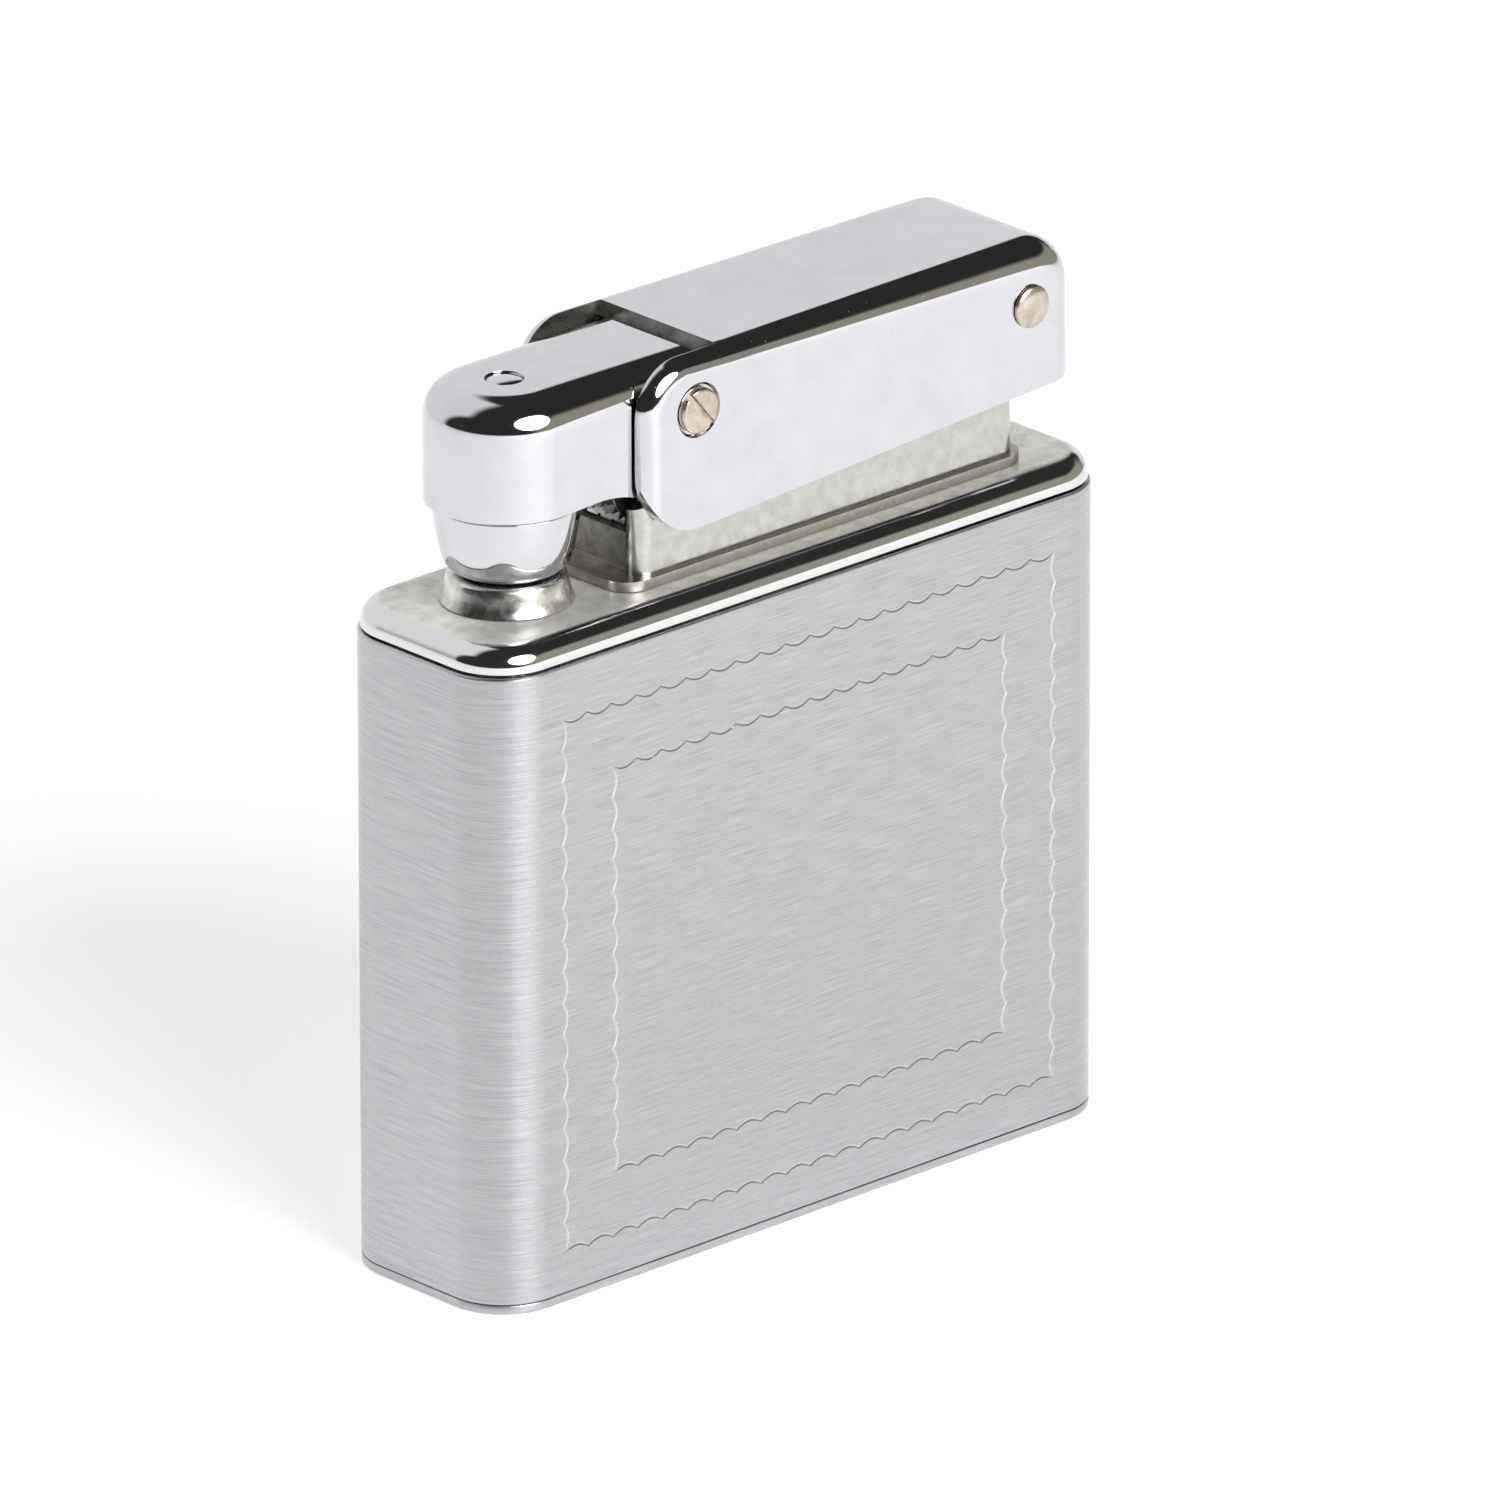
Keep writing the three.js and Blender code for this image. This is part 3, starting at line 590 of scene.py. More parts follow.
flintStone = makeDullMaterial("flint stone", (0.10, 0.095, 0.09), (0.19, 0.17, 0.15), (0.5, 0.8), 1500.0, 0.00003)
report("materials ready")


caseSize = {
    "length": 45.3, "depth": 13.1, "corner": 3.5, "wall": 0.6, "bottom": 0.55, "top": 36.4, "edge": 0.12,
}
engraving = {
    "pitch": 1.8, "frames": ((20, 17), (16, 13)), "centreZ": 18.15, "bow": 0.3,
    "strokeWidth": 0.19, "depth": 0.031, "pointsPerStroke": 10,
}


def strokeLines():
    # scallops of the two frames: for each, its three lines of (place on the panel, depth)
    pitch, bow, count = engraving["pitch"], engraving["bow"], engraving["pointsPerStroke"]
    for across, up in engraving["frames"]:
        w, h = across * pitch / 2, up * pitch / 2
        corners = [(-w, -h), (w, -h), (w, h), (-w, h)]
        inwards = [(0, 1), (-1, 0), (0, -1), (1, 0)]
        for side in range(4):
            start, end = Vector(corners[side]), Vector(corners[(side + 1) % 4])
            inward = Vector(inwards[side])
            pieces = across if side % 2 == 0 else up
            for k in range(pieces):
                a, b = start.lerp(end, k / pieces), start.lerp(end, (k + 1) / pieces)
                lines = {"low": [], "middle": [], "high": []}
                for i in range(count + 1):
                    t = i / count
                    middle = a.lerp(b, t) + inward * bow * math.sin(math.pi * t)
                    # the cut runs out towards the frame's corners
                    fromCorner = min(k * count + i, (pieces - k) * count - i)
                    share = min(fromCorner / 3, 1)
                    half = engraving["strokeWidth"] / 2 * share
                    depth = engraving["depth"] * share
                    lines["low"].append((middle - inward * half, 0))
                    lines["middle"].append((middle, depth))
                    lines["high"].append((middle + inward * half, 0))
                yield lines


def engravedPanel(halfWidth, bottom, top, y, outward):
    points, depths, edges, index = [], [], [], {}

    def place(point, depth=0.0):
        key = (round(point[0], 5), round(point[1], 5))
        if key not in index:
            index[key] = len(points)
            points.append(Vector(key))
            depths.append(depth)
        return index[key]

    corners = [place(p) for p in ((-halfWidth, bottom), (halfWidth, bottom), (halfWidth, top), (-halfWidth, top))]
    edges += [(corners[i], corners[(i + 1) % 4]) for i in range(4)]
    for lines in strokeLines():
        for line in lines.values():
            trail = [place((u, v + engraving["centreZ"]), depth) for (u, v), depth in line]
            edges += list(zip(trail, trail[1:]))
    flat, _, faces, origin, _, _ = delaunay_2d_cdt(points, edges, [], 0, 1e-6, True)
    vertices = []
    for point, sources in zip(flat, origin):
        depth = max((depths[s] for s in sources), default=0.0)
        vertices.append((point[0], y - outward * depth, point[1]))
    return vertices, [tuple(face) for face in faces]


def buildSleeve():
    c = caseSize
    edge = c["edge"]
    outer = [(edge - edge * math.cos(math.radians(a)), c["bottom"] + edge - edge * math.sin(math.radians(a)))
             for a in (90, 60, 30, 0)]
    outer += [(i, c["top"] - (z - c["bottom"])) for i, z in reversed(outer)]
    profile = outer + [(c["wall"], c["top"]), (c["wall"], c["bottom"])]
    loops = [planLoop(c["length"], c["depth"], c["corner"], inset, z, 20) for inset, z in profile]
    count = len(loops[0])
    vertices = [point for loop in loops for point in loop]
    faces = []
    flatRow = 3
    halfWidth = c["length"] / 2 - c["corner"]
    for a in range(len(loops)):
        b = (a + 1) % len(loops)
        for i in range(count):
            j = (i + 1) % count
            quad = (a * count + i, a * count + j, b * count + j, b * count + i)
            wide = abs(vertices[quad[0]][0] - vertices[quad[1]][0]) > halfWidth
            if not (a == flatRow and wide):
                faces.append(quad)
    low, high = c["bottom"] + edge, c["top"] - edge
    for outward in (-1, 1):
        panel, panelFaces = engravedPanel(halfWidth, low, high, outward * c["depth"] / 2, outward)
        start = len(vertices)
        vertices += panel
        faces += [tuple(start + i for i in face) for face in panelFaces]
    return smoothFaces(makeObject("caseSleeve", vertices, faces), 14)


def markCuts(sleeve):
    # the cut strokes shine more than the satin round them
    face = caseSize["depth"] / 2
    for polygon in sleeve.data.polygons:
        for i in polygon.vertices:
            x, y, z = sleeve.data.vertices[i].co / millimetre
            if 2 < z < 34 and abs(x) < 19 and face - 0.1 < abs(y) < face - 0.01:
                polygon.material_index = 1


sleeve = finishPiece(buildSleeve(), "case", (satinChrome, cutChrome), "satin_chrome", "case_sleeve")
markCuts(sleeve)


def roundedStack(name, size, profile, steps=16, middle=0):
    length, depth, corner = size
    return solid(name, [planLoop(length, depth, corner, inset, z, steps, middle) for inset, z in profile])


basePlate = {"rim": 0.5, "edge": 0.16, "lipInset": 0.02, "plugInset": 0.75, "plugTop": 1.25, "flintHole": 2.35,
    "fillerHole": 2.85}
wheelX, fillerX, wickX = -7.7, 10.0, -15.9  # places of the upright axes along X
rivetPlaces = (-1.2, 14.2)
tubeHole, rivetHole = 2.0, 0.7


def buildBottomPlate():
    p = basePlate
    edge = p["edge"]
    profile = [(edge - x, z + edge) for x, z in arc(0, 0, edge, -90, 0, 5)]
    profile += [(0.0, p["rim"]), (0.01, p["rim"] + 0.02), (p["lipInset"], p["rim"] + 0.03),
        (p["lipInset"], caseSize["bottom"] - 0.01),
                (p["plugInset"], caseSize["bottom"] - 0.01), (p["plugInset"], p["plugTop"])]
    plate = roundedStack("bottomPlate", (caseSize["length"], caseSize["depth"], caseSize["corner"]), profile, 18)
    cut(plate, drum("hole", p["flintHole"], -1, 2, (wheelX, 0, 0)),
        drum("hole", p["fillerHole"], -1, 2, (fillerX, 0, 0)))
    return smoothFaces(plate)


finishPiece(buildBottomPlate(), "case", satinChrome, "satin_chrome", "bottom_plate")

deck = {"inset": 0.15, "bottom": 36.5, "top": 38.0, "rounding": 1.25, "plugDrop": 0.4}


def buildTopPlate():
    d = deck
    r = d["rounding"]
    profile = [(0.75, d["bottom"] - d["plugDrop"]), (0.75, d["bottom"]), (d["inset"] + 0.08, d["bottom"]),
        (d["inset"], d["bottom"] + 0.08)]
    profile += [(d["inset"] + r - x, z) for x, z in arc(0, d["top"] - r, r, 0, 90, 12)]
    plate = roundedStack("topPlate", (caseSize["length"], caseSize["depth"], caseSize["corner"]), profile, 20)
    cut(plate, drum("hole", tubeHole, 30, 40, (wickX, 0, 0)), drum("hole", tubeHole, 30, 40, (wheelX, 0, 0)),
        *[drum("hole", rivetHole, 30, 40, (x, 0, 0), steps=24) for x in rivetPlaces])
    return smoothFaces(plate, 40)


finishPiece(buildTopPlate(), "case", deckChrome, "polished_chrome", "top_plate")
report("case ready")


armPivot = (-7.05, 0, 47.8)
wheelAxis = (wheelX, 0, 43.4)
leverPinAxis = (17.2, 0, 47.4)
block = {
    "left": -10.1, "right": 17.6, "half": 4.05, "wall": 1.0, "footBase": 38.05, "footTop": 38.6, "floorTop": 38.9,
    "wallTop": 45.2, "footLength": 29.6, "footDepth": 8.8, "footMiddle": 3.4, "corner": 1.0, "edge": 0.09,
    "guardTop": 40.95, "lug": 1.4, "pivotHole": 0.83, "axleHole": 0.68, "stop": (-3.9, -3.2), "stopTop": 42.4,
}


def buildFrame():
    b = block
    px, _, pz = armPivot
    outline = [(b["left"], b["footBase"]), (b["right"], b["footBase"]), (b["right"], 42.2), (15.6, 42.2),
        (14.6, b["wallTop"]),
               (px + 1.2, b["wallTop"]), (px + 1.2, pz - 0.7)]
    outline += arc(px, pz, b["lug"], -30, 150, 16) + [(-9.25, 46.8), (-9.25, 42.6), (b["left"], 42.3)]
    walls = sideSolid("mechanismFrame", outline, -b["half"], b["half"])
    length = b["right"] - b["left"]
    middle = (b["right"] + b["left"]) / 2
    prism = roundedStack("prism", (length, 2 * b["half"], b["corner"]), [(0, 37), (0, 52)], 10, middle)
    keep(walls, prism)
    slotHalf = b["half"] - b["wall"]
    cut(walls, boxSolid("channel", (-14, 20), (-slotHalf, slotHalf), (b["floorTop"], 60)))
    foot = roundedStack("foot", (b["footLength"], b["footDepth"], 1.5), [(0, b["footBase"]), (0, b["footTop"])], 10,
        b["footMiddle"])
    stop = boxSolid("stop", b["stop"], (-slotHalf - 0.1, slotHalf + 0.1), (b["floorTop"] - 0.1, b["stopTop"]))
    guard = boxSolid("guard", (b["left"] + 0.05, b["left"] + 0.6), (-slotHalf - 0.1, slotHalf + 0.1),
        (b["floorTop"] - 0.1, b["guardTop"]))
    join(walls, foot, stop, guard)
    cut(walls, drum("hole", tubeHole, 30, 40, (wheelX, 0, 0)), drum("hole", b["pivotHole"], -9, 9, armPivot, "Y", 32),
        drum("hole", b["axleHole"], -9, 9, wheelAxis, "Y", 32),
        *[drum("hole", rivetHole, 30, 39.5, (x, 0, 0), steps=24) for x in rivetPlaces])
    return smoothFaces(softenEdges(walls, b["edge"]))


def markFrame(item):
    # index 1 is the dull foot plate; index 2, the guard under the spark wheel, is dark raw steel that partly stands in
    # as painted shade from the wheel
    for polygon in item.data.polygons:
        corners = [item.data.vertices[i].co / millimetre for i in polygon.vertices]
        if all(c.z < block["floorTop"] + 0.02 for c in corners):
            polygon.material_index = 1
        elif all(c.x < block["left"] + 0.7 and abs(c.y) < 3.2 and c.z < 41.2 for c in corners):
            polygon.material_index = 2


frameBlock = finishPiece(buildFrame(), "case", (blockChrome, footPlate, rawSteelPaintedShade), "polished_chrome",
    "mechanism_frame")
markFrame(frameBlock)
report("frame ready")


def buildCollar():
    profile = [(2.3, 38.05), (3.64, 38.05), (3.62, 38.12), (3.53, 38.3), (3.45, 38.52), (3.38, 38.8), (3.31, 39.1),
        (3.24, 39.38),
               (3.19, 39.5), (3.08, 39.59), (2.9, 39.61), (2.3, 39.61)]
    return smoothFaces(turned("chimneyCollar", profile, (wickX, 0, 0), steps=96, ringed=True), 40)


def buildCup():
    wall = [(2.72, 39.72), (2.98, 39.85), (3.2, 40.03), (3.38, 40.28), (3.52, 40.6), (3.63, 41.0), (3.73, 41.45),
            (3.82, 41.95), (3.9, 42.5), (3.96, 43.0), (4.0, 43.45)]
    profile = [(2.3, 39.63), (2.45, 39.64)] + wall + arc(3.9, 43.5, 0.1, 0, 90, 4)
    profile += [(2.95, 43.6), (2.9, 43.65), (2.9, 44.2), (2.8, 44.3), (2.3, 44.3)]
    return smoothFaces(turned("chimneyCup", profile, (wickX, 0, 0), steps=96, ringed=True), 40)


finishPiece(buildCollar(), "case", collarChrome, "polished_chrome", "chimney_collar")
finishPiece(buildCup(), "case", chrome, "polished_chrome", "chimney_cup")
report("chimney ready")


arm = {
    "capX": -16.0, "capRadius": 4.39, "half": 4.35, "rim": 43.8, "top": 50.45, "roof": 49.35, "rounding": 1.95,
    "bore": 3.6, "end": -9.6, "knuckleOuter": 2.86, "knuckleInner": 1.65, "edge": 0.1, "rearCorner": 1.3,
    "heelReach": 3.0, "heelAngle": 22.5, "heelRadius": 0.5, "lug": (2.35, 2.9), "pivotHole": 0.95, "rivetHole": 0.7,
    "rivetSeat": 1.07, "rivetSeatDepth": 0.35,
}


def armPlanLoop(inset, z, rear):
    a = arm
    r = a["capRadius"] - inset
    front = arc(a["capX"], 0, r, 94, 266, 52)
    half = a["half"] - inset
    sides = [(rear, -half), (rear, half)]
    return [(x, y, z) for x, y in front + sides]


def buildArm():
    a = arm
    px, _, pz = armPivot
    r = a["rounding"]
    profile = [(0, 38.0), (0, a["top"] - r)] + [(r - x, z) for x, z in arc(0, a["top"] - r, r, 0, 90, 14)[1:]]
    shell = solid("snufferArm", [armPlanLoop(inset, z, px + a["knuckleOuter"] + 1) for inset, z in profile])
    side = [(-21, 37), (a["end"], 37), (a["end"], pz + a["knuckleInner"])]
    side += arc(px, pz, a["knuckleInner"], 90, 10, 14) + arc(px, pz, a["knuckleOuter"], 10, 90, 18)
    side += [(-21, pz + a["knuckleOuter"] + 0.25)]
    side = [(x, min(z, a["top"] + 0.2)) for x, z in side]
    keep(shell, sideSolid("side", side, -8, 8))
    sweep = [(-21, 36), (-8, 36), (-8, 42.6), (-9.6, 42.95)]
    control = ((-9.6, 42.95), (-11.2, 43.95), (-13.4, 43.9))
    for i in range(1, 13):
        t = i / 12
        sweep.append(tuple((1 - t) ** 2 * p + 2 * t * (1 - t) * q + t * t * s for p, q, s in zip(*control)))
    sweep += [(-15.4, a["rim"]), (-21, a["rim"])]
    cut(shell, sideSolid("underside", sweep, -8, 8))
    cut(shell, drum("bore", a["bore"], 40, a["roof"], (a["capX"], 0, 0), steps=96))
    cut(shell, boxSolid("hollow", (-11.9, a["end"] + 3), (-3.5, 3.5), (40, 49.4)))
    cut(shell, drum("rivetHole", a["rivetHole"], 45, 60, (a["capX"], 0, 0), steps=32),
        drum("rivetSeat", a["rivetSeat"], a["top"] - a["rivetSeatDepth"], 60, (a["capX"], 0, 0), steps=48))
    for side in (-1, 1):
        cornerX, cornerY, r = a["end"] - a["rearCorner"], a["half"] - a["rearCorner"], a["rearCorner"]
        curve = [(x, side * y) for x, y in arc(cornerX, cornerY, r, 90, 0, 8)]
        outline = curve + [(a["end"] + 0.4, side * cornerY), (a["end"] + 0.4, side * 6), (cornerX, side * 6)]
        cut(shell, solid("rearRounding", [[(x, y, z) for x, y in outline] for z in (38, 49.1)]))
    cut(shell, *[boxSolid("relief", (a["end"] + 0.02, 0), ys, (40, 60)) for ys in ((4.25, 6), (-6, -4.25))])
    softenEdges(shell, a["edge"])
    heelX = px + a["heelReach"] * math.sin(math.radians(a["heelAngle"]))
    heelZ = pz - a["heelReach"] * math.cos(math.radians(a["heelAngle"]))
    lugOutline = [(-9.2, 49.6), (-8.7, 47.2), (-7.6, 45.9), (heelX - 0.5, heelZ), (heelX + 0.5, heelZ),
                  (heelX + 0.15, 45.9), (-5.4, 47.2), (-5.2, 48), (-5.6, 49.2), (-7, 49.7)]
    inside, outside = a["lug"]
    for low, high in ((inside, outside), (-outside, -inside)):
        lug = sideSolid("lug", lugOutline, low, high)
        join(lug, drum("heel", a["heelRadius"], low, high, (heelX, 0, heelZ), "Y", 24))
        join(shell, lug)
    cut(shell, drum("bore", a["pivotHole"], -9, 9, armPivot, "Y", 40))
    return smoothFaces(shell)


finishPiece(buildArm(), "arm", chrome, "polished_chrome", "snuffer_arm")
report("arm ready")

lever = {
    "top": 50.8, "half": 5.45, "sheet": 0.95, "front": -10.8, "rear": 20.8, "hoodFront": -4.95,
    "frontRounding": 1.05, "frontEdge": 1.15, "rearRounding": 1.8, "rearPlanCorner": 1.8, "frontCorner": 3.0,
    "rearCorner": 2.8,
    "frontRadius": 3.8, "rearRadius": 1.8, "lowRear": 42.6, "edge": 0.12, "sideBottom": 44.9, "pivotHole": 0.95,
    "pinHole": 0.88,
}


def roundingAt(x):
    v = lever
    t = min(max((x - v["front"]) / (v["rear"] - v["front"]), 0), 1)
    return v["frontRounding"] + (v["rearRounding"] - v["frontRounding"]) * t


def edgeInset(radius, distance):
    # how far a quarter round of this radius has pulled in at a distance from the outermost face
    if distance >= radius:
        return 0.0
    return radius - math.sqrt(radius * radius - (radius - distance) ** 2)


def leverLoop(y):
    v = lever
    distance = v["half"] - abs(y)
    frontInset = edgeInset(v["frontEdge"], distance)
    rearInset = edgeInset(v["rearPlanCorner"], distance)
    front, rear = v["front"] + frontInset, v["rear"] - rearInset
    frontR = max(v["frontCorner"] - frontInset, 0.15)
    rearR = max(v["rearCorner"] - edgeInset(v["rearRounding"], distance), 0.15)

    def topAt(x):
        return v["top"] - edgeInset(roundingAt(x), distance)

    points = [(front, 38.0), (rear + 0.15, 38.0)]
    points += arc(rear - rearR, topAt(rear) - rearR, rearR, 0, 90, 12)
    left, right = front + frontR, rear - rearR
    points += [(x, topAt(x)) for x in (right + (left - right) * i / 14 for i in range(1, 14))]
    points += arc(left, topAt(front) - frontR, frontR, 90, 180, 12)
    return [(x, y, z) for x, z in points]


def buildLever():
    v = lever
    distances = {v["rearPlanCorner"] * (1 - math.cos(math.radians(a))) for a in range(0, 91, 8)}
    distances |= {1.5 * (1 - math.cos(math.radians(a))) for a in range(0, 91, 7)}
    distances |= {0.0}
    distances = sorted(round(d, 3) for d in distances)
    distances = [d for i, d in enumerate(distances) if i == 0 or d - distances[i - 1] > 0.01]
    rows = [-(v["half"] - d) for d in distances] + [v["half"] - d for d in reversed(distances)]
    loops = [leverLoop(y) for y in rows]
    shell = solid("thumbLever", loops)
    sides = [(v["front"] - 0.01, 52), (v["front"] - 0.01, v["sideBottom"])]
    sides += arc(v["front"] + v["frontRadius"], v["sideBottom"], v["frontRadius"], 180, 273.6, 18)
    sides += [(v["rear"] - 1.5, v["lowRear"])]
    sides += arc(v["rear"] + 0.2 - v["rearRadius"], v["lowRear"] + v["rearRadius"], v["rearRadius"], -80, 0, 10)
    sides += [(v["rear"] + 0.2, 52)]
    keep(shell, sideSolid("sides", sides, -8, 8))
    inner = v["half"] - v["sheet"]
    cut(shell, boxSolid("inside", (v["front"] - 1, v["rear"] - v["sheet"]), (-inner, inner),
        (37, v["top"] - v["sheet"])))
    cut(shell, boxSolid("mouth", (v["front"] - 1, v["hoodFront"]), (-inner, inner), (37, v["top"] + 1)))
    cut(shell, drum("hole", v["pivotHole"], -9, 9, armPivot, "Y", 40),
        drum("hole", v["pinHole"], -9, 9, leverPinAxis, "Y", 40))
    softenEdges(shell, v["edge"])
    # the dished seat round the pivot screw
    cut(shell, turned("seat", [(1.34, -5.22), (1.42, -5.26), (1.55, -v["half"] - 0.01), (1.55, -7)], armPivot, "Y",
        64))
    return smoothFaces(shell)


def markInside(item):
    # the pressing is left unpolished inside; the cut edge of its hood is raw steel, darkened as painted shade of the
    # gap beneath the hood
    v = lever
    spare = 0.02
    for polygon in item.data.polygons:
        corners = [item.data.vertices[i].co / millimetre for i in polygon.vertices]
        between = all(abs(c.y) < v["half"] - v["sheet"] + spare for c in corners)
        under = all(c.z < v["top"] - v["sheet"] + spare and c.x < v["rear"] - v["sheet"] + spare for c in corners)
        ahead = all(c.x < v["hoodFront"] + spare for c in corners)
        if polygon.normal.x < -0.9 and abs(polygon.center.x / millimetre - v["hoodFront"]) < 0.1:
            polygon.material_index = 2
        elif between and (under or ahead):
            polygon.material_index = 1


leverShell = finishPiece(buildLever(), "lever", (chrome, insideChrome, rawSteelPaintedShade), "polished_chrome", "thumb_lever")
markInside(leverShell)
report("lever ready")


pivotScrew = {"seat": -5.28, "headHeight": 0.46, "headRadius": 1.28, "slotHalf": 0.2, "slotAngle": 50,
    "rounding": 0.035}


def buildPivotScrew():
    head, height, radius = pivotScrew["seat"], pivotScrew["headHeight"], pivotScrew["headRadius"]
    screw = turned("pivotScrew", [(0, head - height), (radius - 0.23, head - height),
        (radius - 0.11, head - height + 0.03), (radius - 0.03, head - height + 0.1),
                   (radius, head - height + 0.2), (radius, head), (0.75, head), (0.75, 5.45), (0.6, 5.6), (0, 5.6)],
                   armPivot, "Y")
    slot = boxSolid("slot", (-2, 2), (head - height - 0.3, head - height + 0.32),
        (-pivotScrew["slotHalf"], pivotScrew["slotHalf"]))
    turn = Matrix.Rotation(math.radians(pivotScrew["slotAngle"]), 4, "Y")
    slot.data.transform(Matrix.Translation(Vector(armPivot) * millimetre) @ turn)
    cut(screw, slot)
    return smoothFaces(softenEdges(screw, pivotScrew["rounding"], 40, 2), 40)


finishPiece(buildPivotScrew(), "case", nickel, "nickel", "pivot_screw")


leverPin = {"seat": -5.5, "headRadius": 1.2, "crown": 0.32, "brim": 0.06, "shaft": 0.8}


def buildLeverPin():
    head, radius, crown, brim, shaft = (leverPin[k] for k in ("seat", "headRadius", "crown", "brim", "shaft"))
    angles = [math.radians(a) for a in range(0, 90, 9)]
    dome = [(radius * math.sin(a), head - brim - crown * math.cos(a) ** 0.9) for a in angles]
    profile = [(0, head - brim - crown)] + dome[1:] + [(radius, head - 0.05), (radius, head), (shaft, head),
        (shaft, 5.5), (0, 5.6)]
    return smoothFaces(turned("leverPin", profile, leverPinAxis, "Y"), 40)


finishPiece(buildLeverPin(), "lever", nickel, "nickel", "lever_pin")


def buildSnufferRivet():
    profile = [(0, 46.25), (1.2, 46.25), (1.2, 46.5), (0.6, 46.55), (0.6, 50.15), (1.04, 50.15), (1.04, 50.28),
        (0.98, 50.34),
               (0.85, 50.38), (0.6, 50.42), (0.3, 50.44), (0, 50.445)]
    return smoothFaces(turned("snufferRivet", profile, (-16, 0, 0)), 40)


finishPiece(buildSnufferRivet(), "arm", chrome, "polished_chrome", "snuffer_rivet")

fileWheel = {"Radius": 0.003, "Width": 0.0037, "Ridge": 0.0003, "Teeth": 30, "Rows": 4, "Row Turn": 0.22}
wheelMiddle = -0.35  # its centre along Y, towards the front wall


def buildSparkWheel():
    wheel = growPiece("sparkWheel", buildFileWheelTree(), fileWheel, wheelSteel)
    lay = Matrix.Rotation(math.radians(90), 4, "X")
    wheel.data.transform(Matrix.Translation(Vector((wheelAxis[0], wheelMiddle, wheelAxis[2])) * millimetre) @ lay)
    return smoothFaces(wheel, 30, False)


finishPiece(buildSparkWheel(), "wheel", wheelSteel, "steel", "spark_wheel")


braid = {"Radius": 0.00112, "Strand": 0.00026, "Length": 0.0302, "Turns": 6.0, "Strands": 8, "Steps": 16}


def buildWick():
    strands = growPiece("wick", buildBraidTree(), braid, cotton)
    strands.data.transform(Matrix.Translation(Vector((wickX, 0, 15.05)) * millimetre))
    core = drum("core", 1.0, 15, 45.2, (wickX, 0, 0), steps=20)
    return smoothFaces(mergePieces(strands, core), 50, False)


def mergePieces(first, *others):
    work = bmesh.new()
    for item in (first, *others):
        work.from_mesh(item.data)
    work.to_mesh(first.data)
    work.free()
    for item in others:
        bpy.data.objects.remove(item)
    return first


finishPiece(buildWick(), "case", cotton, "cotton", "wick")

coilTree = buildCoilTree()
flintCoil = {"Radius": 0.001, "Wire Radius": 0.00018, "Length": 0.0292, "Turns": 14.0, "Steps": 20, "Sides": 8}


def buildFlintSpring():
    coil = growPiece("flintSpring", coilTree, flintCoil, steel)
    coil.data.transform(Matrix.Translation(Vector((wheelX, 0, 6.0)) * millimetre))
    return smoothFaces(coil, 50, False)


finishPiece(buildFlintSpring(), "case", steel, "steel", "flint_spring")

returnCoil = {"Radius": 0.00135, "Wire Radius": 0.0002, "Length": 0.00995, "Turns": 9.0, "Steps": 28, "Sides": 8}
returnSeat = (-3.1, 0, 40.95)  # where its fixed end stands


def buildReturnSpring():
    coil = growPiece("returnSpring", coilTree, returnCoil, steel)
    start = Vector(returnSeat) * millimetre + Vector((returnCoil["Wire Radius"], 0, 0))
    coil.data.transform(Matrix.Translation(start) @ Matrix.Rotation(math.radians(90), 4, "Y"))
    return smoothFaces(coil, 50, False)


returnSpring = finishPiece(buildReturnSpring(), "case", steel, "steel", "return_spring")
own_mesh(returnSpring)

baseScrews = {
    "flintScrew": {"body": "flint_plug", "node": "flint_screw", "x": wheelX, "slot": 0.6, "slotTop": 0.75,
        "thread": (1.32, 1.75, 3.7),
                   "profile": [(0, 0.2), (2.02, 0.2), (2.13, 0.23), (2.2, 0.32), (2.2, 1.55), (1.25, 1.55),
                   (1.25, 5.6), (0, 5.6)]},
    "fillerScrew": {"body": "filler_plug", "node": "filler_screw", "x": fillerX, "slot": 0.9, "slotTop": 0.8,
        "thread": (1.6, 1.8, 2.3),
                    "profile": [(0, 0.2), (2.5, 0.2), (2.62, 0.24), (2.7, 0.34), (2.7, 1.2), (1.52, 1.2), (1.52, 4.2),
                    (0, 4.2)]},
}


def buildBaseScrew(name, size):
    screw = turned(name, size["profile"], (size["x"], 0, 0))
    reach, pitch = 3.2, 0.4
    cut(screw, boxSolid("slot", (size["x"] - reach, size["x"] + reach), (-size["slot"] / 2, size["slot"] / 2),
        (0, size["slotTop"])))
    softenEdges(screw, 0.05, 40, 2)
    radius, start, length = size["thread"]
    thread = growPiece("thread", coilTree, {"Radius": (radius - 0.08) * millimetre, "Wire Radius": 0.00014,
        "Length": length * millimetre,
                                            "Turns": length / pitch, "Steps": 28, "Sides": 6}, brass)
    thread.data.transform(Matrix.Translation(Vector((size["x"], 0, start)) * millimetre))
    return smoothFaces(mergePieces(screw, thread), 40)


for name, size in baseScrews.items():
    finishPiece(buildBaseScrew(name, size), size["body"], brass, "brass", size["node"])
report("grown pieces ready")

cadLooks = {
    "fuel_tank": brass, "wadding": cotton, "frame_rivet_1": steel, "frame_rivet_2": steel, "wick_tube": brass,
    "snuffer_seal": rubber, "drive_pawl": steel, "pivot_bush": steel, "toggle_link": steel,
    "link_pin": steel, "push_bar": steel,
    "ratchet_wheel": wheelSteel, "wheel_axle": steel, "flint_tube": brass, "flint": flintStone,
    "filler_washer": rubber,
}
for name, look in cadLooks.items():
    mesh = nodes[name].data
    mesh.materials.clear()
    mesh.materials.append(look)

